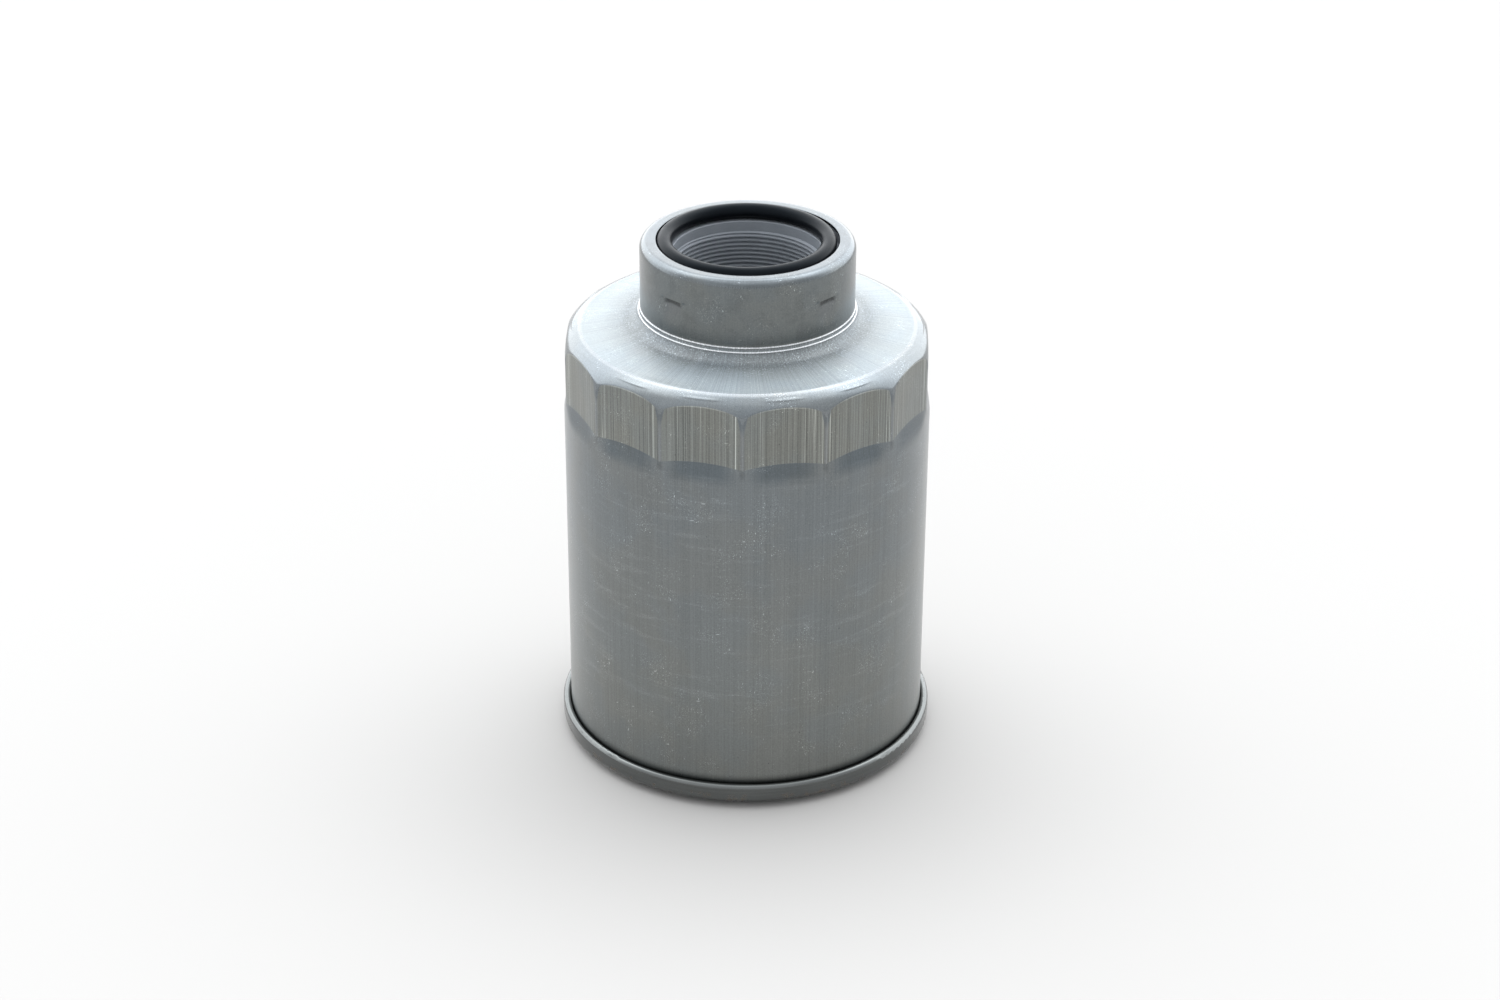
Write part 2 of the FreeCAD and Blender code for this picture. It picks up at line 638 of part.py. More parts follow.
def spot(direction, distance, offset_direction, offset):
    # Plan position at a distance along one direction, moved by an offset along another.
    return FreeCAD.Vector(
        distance * math.cos(direction) + offset * math.cos(offset_direction),
        distance * math.sin(direction) + offset * math.sin(offset_direction),
        0.0,
    )


def pleated_media():
    # Star-folded filter paper.
    outer_side = Part.Face(pleat_wire(1.0))
    inner_side = Part.Face(pleat_wire(-1.0))
    sheet = outer_side.cut(inner_side)
    sheet.translate(FreeCAD.Vector(0, 0, MEDIA_BOTTOM_Z))
    return sheet.extrude(FreeCAD.Vector(0, 0, MEDIA_TOP_Z - MEDIA_BOTTOM_Z)).Solids[0]


def media_seam_clip():
    # U-shaped strip crimped over the outer fold where the paper's two ends meet.
    bottom = OUTLET_POTTING_TOP_Z + CLIP_END_GAP
    length = CLOSED_POTTING_BOTTOM_Z - CLIP_END_GAP - bottom
    fold_size = OUTER_FOLD_R + MEDIA_THICK / 2.0
    centre = MEDIA_OUTER_R - fold_size
    outer_size = fold_size + CLIP_THICK
    start = centre - CLIP_DEPTH + fold_size
    outside = Part.makeCylinder(outer_size, length, FreeCAD.Vector(centre, 0, bottom))
    block = Part.makeBox(
        centre - start, 2.0 * outer_size, length, FreeCAD.Vector(start, -outer_size, bottom)
    )
    hollow = Part.makeCylinder(fold_size, length, FreeCAD.Vector(centre, 0, bottom))
    slot = Part.makeBox(
        centre - start, 2.0 * fold_size, length, FreeCAD.Vector(start, -fold_size, bottom)
    )
    strip = outside.fuse(block).cut(hollow.fuse(slot)).removeSplitter()
    return turn(strip, 180.0 / PLEAT_COUNT)


def outlet_potting(media):
    # Plastisol that glues the media into the outlet end cap.
    low = OUTLET_CAP_Z + CAP_SHEET
    wall = CAP_R - CAP_SHEET
    bend = CAP_BEND - CAP_SHEET
    ring = turned([
        (TUBE_R, low),
        (wall - bend, low),
        (wall, low + bend, wall - bend, low + bend),
        (wall, OUTLET_POTTING_TOP_Z),
        (TUBE_R, OUTLET_POTTING_TOP_Z),
    ])
    return ring.cut(media)


def closed_potting(media):
    # Plastisol that glues the media into the closed end cap, filling the space under its boss.
    under = CLOSED_CAP_Z - CAP_SHEET
    wall = CAP_R - CAP_SHEET
    bend = CAP_BEND - CAP_SHEET
    under_boss_r = BOSS_R - BOSS_INSET
    ring = turned([
        (TUBE_R, CLOSED_POTTING_BOTTOM_Z),
        (wall, CLOSED_POTTING_BOTTOM_Z),
        (wall, under - bend),
        (wall - bend, under, wall - bend, under - bend),
        (under_boss_r, under),
        (under_boss_r - BOSS_SLOPE, under + BOSS_RISE),
        (TUBE_R, under + BOSS_RISE),
    ])
    return ring.cut(media)


def element_grommet():
    # Rubber ring between the outlet end cap and the collar of the base plate.
    seat = LID_FLOOR_Z + SHEET + PLATE_THICK
    inner = COLLAR_R + GROMMET_BORE_GAP
    edge_r = TUBE_R - GROMMET_ROUND
    edge_z = seat + GROMMET_ROUND
    cap_top = OUTLET_CAP_Z + CAP_SHEET
    lip_r = OUTLET_CAP_HOLE_R + GROMMET_LIP
    return turned([
        (inner + GROMMET_LEAD, seat),
        (edge_r, seat),
        (TUBE_R, edge_z, edge_r, edge_z),
        (TUBE_R, OUTLET_CAP_Z),
        (OUTLET_CAP_HOLE_R, OUTLET_CAP_Z),
        (OUTLET_CAP_HOLE_R, cap_top),
        (lip_r, cap_top),
        (lip_r, cap_top + GROMMET_LIP_HEIGHT),
        (OUTLET_CAP_HOLE_R - GROMMET_TOP_INSET, cap_top + GROMMET_TOP),
        (inner, cap_top + GROMMET_TOP),
        (inner, seat + GROMMET_LEAD),
    ])


def spring_height(turns, travel):
    # Rise of the wire after a number of turns: touching end turns and even turns between them.
    closed = SPRING_CLOSED_TURNS
    active = SPRING_TURNS - 2.0 * closed
    closed_pitch = 2.0 * SPRING_WIRE_R + SPRING_TOUCH_GAP
    active_pitch = (travel - 2.0 * closed * closed_pitch) / active
    low = min(turns, closed)
    middle = min(max(turns - closed, 0.0), active)
    high = max(turns - closed - active, 0.0)
    return (low + high) * closed_pitch + middle * active_pitch


def element_spring():
    # Round-wire coil between the closed end cap and the inside of the shoulder.
    cosine = math.cos(SHOULDER_SLOPE)
    roof = shoulder_line(SPRING_MEAN_R) - (SHEET + SPRING_WIRE_R) / cosine - SPRING_GAP
    floor = CLOSED_CAP_Z + SPRING_WIRE_R
    travel = roof - floor
    points = []
    for i in range(int(SPRING_TURNS * SPRING_STEPS) + 1):
        turns = i / SPRING_STEPS
        angle = 2.0 * math.pi * turns
        points.append(FreeCAD.Vector(
            SPRING_MEAN_R * math.cos(angle),
            SPRING_MEAN_R * math.sin(angle),
            floor + spring_height(turns, travel),
        ))
    curve = Part.BSplineCurve()
    curve.interpolate(points)
    path = Part.Wire(curve.toShape())
    circle = Part.Circle(points[0], curve.tangent(curve.FirstParameter)[0], SPRING_WIRE_R)
    return path.makePipeShell([Part.Wire(circle.toShape())], True, True)


def main():
    media = pleated_media()
    nodes = {
        "canister_shell": canister_shell(),
        "seaming_lid": seaming_lid(),
        "seam_compound": seam_compound(),
        "base_plate": base_plate(),
        "mounting_gasket": mounting_gasket(),
        "neck_insert": neck_insert(),
        "insert_seal_ring": insert_seal_ring(),
        "neck_oring": neck_oring(),
        "element_spring": element_spring(),
        "closed_end_cap": closed_end_cap(),
        "closed_potting": closed_potting(media),
        "pleated_media": media,
        "media_seam_clip": media_seam_clip(),
        "centre_tube": centre_tube(),
        "outlet_potting": outlet_potting(media),
        "outlet_end_cap": outlet_end_cap(),
        "element_grommet": element_grommet(),
    }
    os.makedirs("parts", exist_ok=True)
    for name, shape in nodes.items():
        shape.exportStep("parts/" + name + ".step")


main()
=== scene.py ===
import math

import bpy
import numpy as np
from mathutils import Matrix, Vector


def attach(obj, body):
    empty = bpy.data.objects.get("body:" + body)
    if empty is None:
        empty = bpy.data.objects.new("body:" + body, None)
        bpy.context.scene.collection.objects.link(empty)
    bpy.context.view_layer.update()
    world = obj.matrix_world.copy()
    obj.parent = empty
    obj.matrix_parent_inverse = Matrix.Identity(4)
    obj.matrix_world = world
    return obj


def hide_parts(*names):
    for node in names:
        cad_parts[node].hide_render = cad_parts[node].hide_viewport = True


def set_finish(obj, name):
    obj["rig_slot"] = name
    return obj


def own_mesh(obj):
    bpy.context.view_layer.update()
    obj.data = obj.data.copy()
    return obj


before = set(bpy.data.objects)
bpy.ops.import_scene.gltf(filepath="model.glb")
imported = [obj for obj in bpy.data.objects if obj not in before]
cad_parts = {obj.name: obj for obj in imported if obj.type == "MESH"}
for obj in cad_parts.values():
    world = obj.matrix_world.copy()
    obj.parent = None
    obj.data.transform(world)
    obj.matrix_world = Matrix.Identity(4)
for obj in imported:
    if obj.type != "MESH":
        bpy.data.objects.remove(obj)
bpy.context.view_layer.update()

# Spin-on fuel filter canister standing on its mounting gasket.
# Outlines are worked out in millimetres and scaled to metres when a mesh is made.
MM = 0.001
TURN = 2.0 * math.pi

# Drawn sheet shell
SHEET = 0.6
BODY_R = 40.0
NECK_R = 23.2
LIP_TOP = 117.5
LIP_INNER_R = 19.7
LIP_ROUND = 1.85
LIP_EDGE_ROUND = 0.12
ROOT_ROUND = 3.2
SLOPE = math.radians(7.8)
SLOPE_R = 25.0
SLOPE_Z = 99.4
SHOULDER_ROUND = 5.0
FINE_ROWS_FROM = 77.0     # the wall is meshed finely from here up
SHELL_COLUMNS_PER_FLAT = 22
COLUMN_CROWDING = 1.5     # above 1 the columns of the mesh crowd toward the corners between flats

# Wrench flats and the ramps under them
FLAT_COUNT = 14
FACET = TURN / FLAT_COUNT
FLAT_APOTHEM = 39.06
FLAT_AZIMUTH = math.radians(-78.44)
KNEE_Z = 83.05
KNEE_DROP = 0.9           # how much lower the flats reach at their corners
KNEE_SOFTNESS = 0.25
RAMP_RATE = 0.2141
PRESS_SOFTNESS = 0.22

# Raised crest where the shoulder starts to bend down; the angle is from level, in degrees
CREST_ANGLE = 81.0
CREST_HEIGHT = 0.085
CREST_WIDTH = 0.7
CREST_RUN_R = 33.0        # the slope is meshed finely from here out

# Faint crease over the middle of each flat
CREASE_ANGLE = 56.0
CREASE_ZONE = 6.0
CREASE_BULGE = 0.18
CREASE_WIDTH = 0.18
CREASE_REACH = 1.3        # where it ends, in quarters of the flat's width from its middle

# Staking dents in the neck
DENT_AZIMUTHS = [math.radians(a) for a in (-133.0, -43.0, 47.0, 137.0)]
DENT_HALF_WIDTH = 2.8
DENT_TOP = 110.5
DENT_BOTTOM = 104.5
DENT_DEPTH = 0.4
DENT_SIDE = 3.6           # width over which a dent's sides slope
DENT_EDGE = 0.06          # half the height of the step at a dent's top
DENT_REACH = 0.5          # cosine of the angle beyond which a dent no longer counts

# Two fine ledges that the draw ring left where the neck meets its root round
LEDGE_LEVELS = (102.55, 101.6)
LEDGE_WIDTH = 0.26
LEDGE_ROUND = 0.13

# Waviness of the drawn wall
WAVE_HEIGHT = 0.03
WAVE_LOW = 8.0
WAVE_HIGH = 77.0
WAVE_FADE = 12.0

# Double seam
SEAM_BOTTOM = 1.5
SEAM_CORNER = 1.1
HOOK_ROUND = 0.3
HOOK_TOP = 4.6

# Gasket, O-ring and spring
GASKET_INNER_R = 31.0
GASKET_OUTER_R = 36.0
GASKET_THICK = 5.0
GASKET_ROUND = 0.5
GASKET_GROOVE_R = 31.95
GASKET_GROOVE = (2.5, 3.3)
RING_WIRE_R = 1.75
RING_MEAN_R = 17.6
RING_CENTRE_Z = 116.62
RING_OFFSET = 0.25        # the ring lies a little to one side of its seat
RING_SECTION_STEPS = 48
FLASH_WIDTH = 0.1
FLASH_HEIGHT = 0.03
SPRING_WIRE_R = 1.0
SPRING_MEAN_R = 27.5
SPRING_TURNS = 4.0
SPRING_CLOSED_TURNS = 0.75
SPRING_TOUCH_GAP = 0.1
SPRING_FLOOR = 83.0
SPRING_TOP = 98.4225
SPRING_STEPS = 480
SPRING_SECTION_STEPS = 20
ROUND_COLUMNS = 288       # columns in the mesh of the gasket and of the O-ring

# Where the finishes of the shell and the lid change, and where painted shade and painted highlights lie on
# the shell.
# Each pair is the value at which a mask starts and the value at which it is full, in millimetres of height,
# of radius or of distance from an edge of the flats.
ARCH_EDGE = (-0.1, 0.1)
KNEE_EDGE = (-0.15, 0.15)
SHOULDER_EDGE = (0.1, -0.2)
BURR_OFFSET = -0.12
BURR_REACH = (0.16, 0.04)
RAMP_ABOVE = (0.12, -0.12)
RAMP_BELOW = (-5.5, -2.0)
NOTCH_ABOVE = (0.3, -0.4)
NOTCH_BELOW = (-3.2, -0.8)
SATIN_RIM = (36.3, 35.7)
SATIN_INSIDE = (102.75, 102.6)
SATIN_OUTSIDE = (90.0, 94.0)
# Painted shade on the slope near the neck's root, in a wide and a narrow band.
SATIN_FOOT_SHADE = (33.0, 25.5)
SATIN_ROOT_SHADE = (28.6, 25.6)
CREST_INSIDE = (35.7, 36.1)
CREST_OUTSIDE = (37.0, 36.5)
NECK_FOOT = (101.8, 102.8)
NECK_FOOT_SHADE = (107.0, 102.2)
LIP_BEND = (115.4, 117.0)
LIP_HIGHLIGHT_FOOT = (116.5, 117.0)
LIP_HIGHLIGHT_TOP = (117.46, 117.3)
LEDGE_SHINE = (0.16, 0.05)
LEDGE_RIM = (24.6, 24.2)
GLITTER_HIGHLIGHT_RIM = (30.0, 26.0)
GLITTER_HIGHLIGHT_GRAIN = (0.56, 0.7)
FORK_SIDE = (-0.01, 0.015)
FORK_HEIGHTS = (90.0, 97.0)
FORK_SHARES = (0.95, 0.84)     # how near the corner the clear metal starts, at the two heights
FORK_BLUE = (89.5, 92.5)       # where the clear metal takes on a darker bluish painted shade
BODY_HEIGHTS = (12.0, 76.0)
SMUDGE_TOP = (86.0, 78.0)
SMUDGE_FOOT = (9.0, 26.0)
CREVICE_SHADE = (7.9, 5.3)
DENT_FACE_FOOT = (DENT_BOTTOM, DENT_TOP - 1.5)
DENT_FACE_TOP = (DENT_TOP - 0.1, DENT_TOP - 0.6)
DENT_SHADE_FOOT = (DENT_TOP - 1.3, DENT_TOP - 0.55)
DENT_SHADE_TOP = (DENT_TOP + 0.25, DENT_TOP - 0.1)
DENT_SHADE_SIDE = (DENT_HALF_WIDTH + 0.2, 1.6)
DENT_SAME_SIDE = (0.0, 10.0)
DENT_BOW = 0.035          # drop of the painted shade along a dent's top edge away from its middle, per millimetre squared
STAIN_TOP = (4.2, 2.8)

# The same across a flat, where 0 is its middle and 1 is its corner
BURR_MIDDLE = (0.8, 0.3)
RAMP_MIDDLE = (1.02, 0.4)
NOTCH_CORNER = (0.9, 0.98)
BRIGHT_CORNER = (0.45, 0.95)

# Lines of the drawn sheet: (fineness round the axis, cells per millimetre along the wall)
DRAW_LINES = (230.0, 0.01)
STREAKS = (26.0, 0.02)
BRIGHT_LINES = (260.0, 0.014)

# Scratches: (tilt in degrees, size of a cell in millimetres)
SCRATCHES = [
    ((16, 9, 0), (0.32, 0.32, 2.6)),
    ((58, 30, 20), (0.3, 0.3, 1.8)),
    ((84, 4, 75), (0.3, 0.3, 2.4)),
]

# Base colours, linear
BODY_LOW = (0.195, 0.206, 0.2, 1.0)
BODY_HIGH = (0.175, 0.19, 0.195, 1.0)
FLAT_COLOUR = (0.184, 0.192, 0.181, 1.0)
CORNER_COLOUR = (0.19, 0.2, 0.202, 1.0)
FORK_SHADE_COLOUR = (0.14, 0.156, 0.166, 1.0)
RAMP_SHADE_COLOUR = (0.115, 0.132, 0.142, 1.0)
SHOULDER_COLOUR = (0.185, 0.203, 0.214, 1.0)
CREST_HIGHLIGHT_COLOUR = (0.235, 0.25, 0.26, 1.0)
SLOPE_COLOUR = (0.285, 0.32, 0.338, 1.0)
LEDGE_HIGHLIGHT_COLOUR = (0.8, 0.82, 0.84, 1.0)
NECK_COLOUR = (0.153, 0.167, 0.168, 1.0)
DENT_FACE_SHADE_COLOUR = (0.142, 0.153, 0.164, 1.0)
LIP_COLOUR = (0.125, 0.137, 0.145, 1.0)
WARM_TINT = (1.012, 1.0, 0.982, 1.0)
COOL_TINT = (0.985, 1.0, 1.015, 1.0)
LID_COLOUR = (0.138, 0.145, 0.143, 1.0)
STAIN_COLOUR = (0.12, 0.105, 0.09, 1.0)
INSERT_COLOUR = (0.245, 0.265, 0.292, 1.0)
PLATE_COLOUR = (0.36, 0.36, 0.35, 1.0)
CAP_COLOUR = (0.5, 0.5, 0.48, 1.0)
TUBE_COLOUR = (0.46, 0.46, 0.45, 1.0)
SPRING_COLOUR = (0.26, 0.25, 0.24, 1.0)
RING_COLOUR = (0.004, 0.0048, 0.0062, 1.0)
RUBBER_SHEEN = (0.7, 0.86, 1.0, 1.0)
GASKET_COLOUR = (0.016, 0.016, 0.017, 1.0)
GROMMET_COLOUR = (0.02, 0.02, 0.021, 1.0)
PAPER_COLOUR = (0.62, 0.53, 0.36, 1.0)
POTTING_COLOUR = (0.42, 0.2, 0.07, 1.0)
COMPOUND_COLOUR = (0.11, 0.13, 0.12, 1.0)

# Floor, light and camera, in metres. The light's stops are (sine of the height angle, level).
FLOOR_SIZE = 6.0
FLOOR_COLOUR = (0.458, 0.447, 0.436, 1.0)
SKY_STRENGTH = 4.0
SKY_TINT = (0.975, 1.0, 1.025, 1.0)
FRONT_LIGHT = [
    (0.0, 0.22),
    (0.5, 0.26),
    (0.81, 0.31),
    (0.96, 0.4),
    (1.0, 0.45),
]
BACK_LIGHT = [
    (0.0, 0.7),
    (0.5, 0.78),
    (0.72, 0.82),
    (0.85, 1.15),
    (0.93, 0.8),
    (0.98, 0.5),
    (1.0, 0.42),
]
BEHIND = (-0.35, 0.45)
FILL_TOWARD = (-0.866, -0.5)
FILL_SPREAD = (0.5, 0.9)
FILL_LEVEL = 0.055
LENS = 75.28
SENSOR = 36.0
CLIP_START = 0.01
CAMERA_PLACE = (0.00075, -0.61895, 0.37847)
CAMERA_TARGET = (0.00075, 0.0, 0.05448)
CAMERA_ROLL = math.radians(0.3)


# ---------------------------------------------------------------- outlines and meshes

def arc(centre, radius, start, end, steps):
    """Points of an arc in the (radius, height) plane; angles in degrees from the outward direction."""
    angles = np.radians(np.linspace(start, end, steps + 1))
    return [(centre[0] + radius * math.cos(a), centre[1] + radius * math.sin(a)) for a in angles]


def line(start, end, steps):
    """Points between start and end, without either of them."""
    shares = [k / steps for k in range(1, steps)]
    return [tuple(a + (b - a) * t for a, b in zip(start, end)) for t in shares]


def path(*stretches):
    """One outline from stretches of points; a number between two of them asks for that many steps there."""
    points = []
    steps = 1
    for stretch in stretches:
        if isinstance(stretch, int):
            steps = stretch
            continue
        if points:
            points += line(points[-1], stretch[0], steps)
        points += stretch
        steps = 1
    return points


def slope_z(radius, inset=0.0):
    """Height of the shoulder's straight slope, or of its underside."""
    return SLOPE_Z - math.tan(SLOPE) * (radius - SLOPE_R) - inset / math.cos(SLOPE)


def shoulder_centre():
    """Centre, in the (radius, height) plane, of the round that joins the shoulder to the body."""
    radius = BODY_R - SHOULDER_ROUND
    return radius, slope_z(radius) - SHOULDER_ROUND / math.cos(SLOPE)


def smooth_min(a, b, softness):
    """Smaller of two values, with a rounded changeover of about the given width."""
    near = np.maximum(softness - np.abs(a - b), 0.0) / softness
    return np.minimum(a, b) - near * near * softness / 4.0


def smooth_step(value):
    """Smooth rise from 0 to 1 while the value does the same."""
    t = np.clip(value, 0.0, 1.0)
    return t * t * (3.0 - 2.0 * t)


def grid_mesh(name, points):
    """Closed quad mesh from rows of points that close on themselves in both directions."""
    rows, columns = points.shape[:2]
    index = np.arange(rows * columns).reshape(rows, columns)
    index = np.vstack([index, index[:1]])
    index = np.hstack([index, index[:, :1]])
    corners = [index[:-1, :-1], index[1:, :-1], index[1:, 1:], index[:-1, 1:]]
    quads = np.stack(corners, -1).reshape(-1, 4)
    mesh = bpy.data.meshes.new(name)
    mesh.from_pydata((points.reshape(-1, 3) * MM).tolist(), [], quads.tolist())
    mesh.update()
    return mesh


def turned_mesh(name, outline, azimuths, press=None):
    """Outline, listed with the solid on its left, carried round the axis; press may reshape the radius."""
    profile = np.array(outline)
    radius = np.repeat(profile[:, :1], len(azimuths), 1)
    height = np.repeat(profile[:, 1:], len(azimuths), 1)
    azimuth = np.repeat(azimuths[None, :], len(profile), 0)
    if press is not None:
        radius = press(azimuth, radius, height)
    points = np.stack([radius * np.cos(azimuth), radius * np.sin(azimuth), height], -1)
    return grid_mesh(name, points)


def even_azimuths(count):
    """Angles spaced evenly once round."""
    return np.arange(count) * TURN / count


def add_piece(name, mesh, body, slot, node, sharp_degrees=40.0):
    """Object for a mesh that stands for one CAD node, with smooth shading up to clear edges."""
    mesh.shade_smooth()
    mesh.set_sharp_from_angle(angle=math.radians(sharp_degrees))
    piece = bpy.data.objects.new(name, mesh)
    bpy.context.scene.collection.objects.link(piece)
    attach(piece, body)
    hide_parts(node)
    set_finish(piece, slot)
    return piece


# ---------------------------------------------------------------- canister shell

def shell_azimuths():
    """Columns of the shell's mesh, crowded toward the corners between the wrench flats."""
    half = FACET / 2.0
    even = (np.arange(SHELL_COLUMNS_PER_FLAT) + 0.5) / SHELL_COLUMNS_PER_FLAT * 2.0 - 1.0
    from_corner = 1.0 - np.abs(even)
    across = np.sign(even) * (1.0 - from_corner ** COLUMN_CROWDING) * half
    middles = FLAT_AZIMUTH + np.arange(FLAT_COUNT) * 2.0 * half
    return (middles[:, None] + across[None, :]).ravel()


def shell_side(inset, fine):
    """Outline of one face of the sheet, from the body up to the lip; a larger fine gives more points."""
    tilt = math.degrees(SLOPE)
    outer_c = shoulder_centre()
    root_r = NECK_R + ROOT_ROUND
    root_c = (root_r, slope_z(root_r) + ROOT_ROUND / math.cos(SLOPE))
    lip_c = (NECK_R - LIP_ROUND, LIP_TOP - LIP_ROUND)
    shoulder = [
        (0.0, CREASE_ANGLE - CREASE_ZONE, 5 * fine),
        (CREASE_ANGLE - CREASE_ZONE, CREASE_ANGLE + CREASE_ZONE, 4 * fine),
        (CREASE_ANGLE + CREASE_ZONE, 90.0 - tilt, 4 * fine),
    ]
    bend = []
    for start, end, steps in shoulder:
        bend += arc(outer_c, SHOULDER_ROUND - inset, start, end, steps)[bool(bend):]
    run = (CREST_RUN_R, slope_z(CREST_RUN_R, inset))
    bend += line(bend[-1], run, 5 * fine) + [run]
    root = arc(root_c, ROOT_ROUND + inset, 270.0 - tilt, 200.0, 4 * fine)
    return path(
        [(BODY_R - inset, FINE_ROWS_FROM)],
        11 * fine,
        ridge(bend, outer_c, CREST_ANGLE, CREST_HEIGHT, CREST_WIDTH),
        3 * fine,
        root,
        ledges(inset),
        5 * fine,
        [(NECK_R - inset, DENT_TOP - DENT_EDGE), (NECK_R - inset, DENT_TOP + DENT_EDGE)],
        3 * fine,
        arc(lip_c, LIP_ROUND - inset, 0.0, 90.0, 3 * fine),
    )


def ledges(inset):
    """Small steps of the neck's foot, from the lower one up; the inner face of the sheet has none."""
    if inset:
        return [(NECK_R - inset, LEDGE_LEVELS[0])]
    size = LEDGE_ROUND
    points = []
    for count, level in ((1, LEDGE_LEVELS[1]), (0, LEDGE_LEVELS[0])):
        wall = NECK_R + count * LEDGE_WIDTH
        points += arc((wall + LEDGE_WIDTH - size, level - size), size, 0.0, 90.0, 3)
        points += arc((wall + size, level + size), size, 270.0, 180.0, 3)
    return points


def ridge(points, centre, angle, height, width):
    """Outline with a faint ridge: its points are pushed away from the centre near one angle, in degrees."""
    result = []
    for radius, level in points:
        out = math.hypot(radius - centre[0], level - centre[1])
        here = math.degrees(math.atan2(level - centre[1], radius - centre[0])) % 360.0
        along = math.radians(here - angle) * out / width
        share = 1.0 + height * math.exp(-along * along) / out
        result.append((centre[0] + (radius - centre[0]) * share, centre[1] + (level - centre[1]) * share))
    return result


def across_flat(azimuth):
    """Angle from the middle of the nearest wrench flat."""
    return (azimuth - FLAT_AZIMUTH + FACET / 2.0) % FACET - FACET / 2.0


def press_flats(azimuth, radius, height, inset):
    """Radius after the wrench flats and their ramps are pressed into the round."""
    across = across_flat(azimuth)
    knee = KNEE_Z - KNEE_DROP * (2.0 * across / FACET) ** 2
    ramp = RAMP_RATE * KNEE_SOFTNESS * np.logaddexp(0.0, (knee - height) / KNEE_SOFTNESS)
    plane = (FLAT_APOTHEM - inset + ramp) / np.cos(across)
    return smooth_min(radius, plane, PRESS_SOFTNESS)


def press_creases(azimuth, radius, height):
    """Radius after the metal over the middle of each flat has bulged into a short crease."""
    centre_r, centre_z = shoulder_centre()
    level = centre_z + SHOULDER_ROUND * math.sin(math.radians(CREASE_ANGLE))
    fade = smooth_step(CREASE_REACH - np.abs(across_flat(azimuth)) * 4.0 / FACET)
    near = np.exp(-((height - level) / CREASE_WIDTH) ** 2)
    return radius + CREASE_BULGE * fade * near * (radius > centre_r)


def press_dents(azimuth, radius, height, inset):
    """Radius after the staking dents are pressed into the neck."""
    rise = (height - DENT_BOTTOM) / (DENT_TOP - DENT_BOTTOM)
    depth = DENT_DEPTH * np.clip(rise, 0.0, 1.0)
    for centre in DENT_AZIMUTHS:
        off = azimuth - centre
        floor = (NECK_R - inset - depth) / np.maximum(np.cos(off), DENT_REACH)
        side = np.abs(NECK_R * np.sin(off))
        share = smooth_step((DENT_HALF_WIDTH + DENT_SIDE / 2.0 - side) / DENT_SIDE)
        pressed = (height <= DENT_TOP) & (height >= DENT_BOTTOM) & (np.cos(off) > DENT_REACH)
        radius = np.where(pressed, radius - share * np.maximum(radius - floor, 0.0), radius)
    return radius


def uneven(azimuth, radius, height):
    """Slight waviness of the drawn wall, fading out toward the seam and the flats."""
    fade = smooth_step((height - WAVE_LOW) / WAVE_FADE) * smooth_step((WAVE_HIGH - height) / WAVE_FADE)
    broad = np.sin(3.0 * azimuth + height / 19.0)
    small = np.sin(5.0 * azimuth - height / 13.0 + 1.0)
    wave = broad + small
    return radius + WAVE_HEIGHT * fade * (wave / 2.0 - 1.0)


def shell_mesh():
    """Drawn sheet with both faces: flats, ramps, dents, in-turned lip and the hook inside the seam."""
    wall_in = BODY_R - SHEET
    hook_in = BODY_R + SHEET
    hook_out = BODY_R + 2.0 * SHEET
    slot_z = SEAM_BOTTOM + 2.0 * SHEET + HOOK_ROUND
    corner = SEAM_CORNER - SHEET
    low = SEAM_BOTTOM + SHEET
    lip_edge = LIP_INNER_R + LIP_EDGE_ROUND
    outer_face = path(
        arc((BODY_R + HOOK_ROUND, slot_z), HOOK_ROUND, 360.0, 180.0, 5),
        14,
        shell_side(0.0, 4),
        4,
        arc((lip_edge, LIP_TOP - LIP_EDGE_ROUND), LIP_EDGE_ROUND, 90.0, 180.0, 2),
    )
    inner_face = path(
        [(LIP_INNER_R, LIP_TOP - SHEET)],
        2,
        shell_side(SHEET, 1)[::-1],
        6,
        arc((wall_in + corner, low + corner), corner, 180.0, 270.0, 3),
        arc((hook_out - corner, low + corner), corner, 270.0, 360.0, 3),
        [(hook_out, HOOK_TOP), (hook_in, HOOK_TOP)],
    )
    inset = np.array([0.0] * len(outer_face) + [SHEET] * len(inner_face))[:, None]

    def press(azimuth, radius, height):
        """Radius after every step of the forming."""
        radius = press_creases(azimuth, radius, height)
        radius = press_flats(azimuth, radius, height, inset)
        radius = press_dents(azimuth, radius, height, inset)
        return uneven(azimuth, radius, height)

    return turned_mesh("canister_shell_skin", outer_face + inner_face, shell_azimuths(), press)


# ---------------------------------------------------------------- other formed pieces

def gasket_mesh():
    """Moulded ring with rounded edges and the groove that the lid's tabs hold."""
    edge = GASKET_ROUND
    inner = GASKET_INNER_R
    outer = GASKET_OUTER_R
    top = GASKET_THICK
    groove_low, groove_high = GASKET_GROOVE
    outline = path(
        arc((inner + edge, edge), edge, 180.0, 270.0, 6),
        10,
        arc((outer - edge, edge), edge, 270.0, 360.0, 6),
        6,
        arc((outer - edge, top - edge), edge, 0.0, 90.0, 4),
        4,
        arc((inner + edge, top - edge), edge, 90.0, 180.0, 4),
        3,
        [(inner, groove_high), (GASKET_GROOVE_R, groove_high)],
        2,
        [(GASKET_GROOVE_R, groove_low), (inner, groove_low)],
        3,
    )
    return turned_mesh("mounting_gasket_skin", outline, even_azimuths(ROUND_COLUMNS))


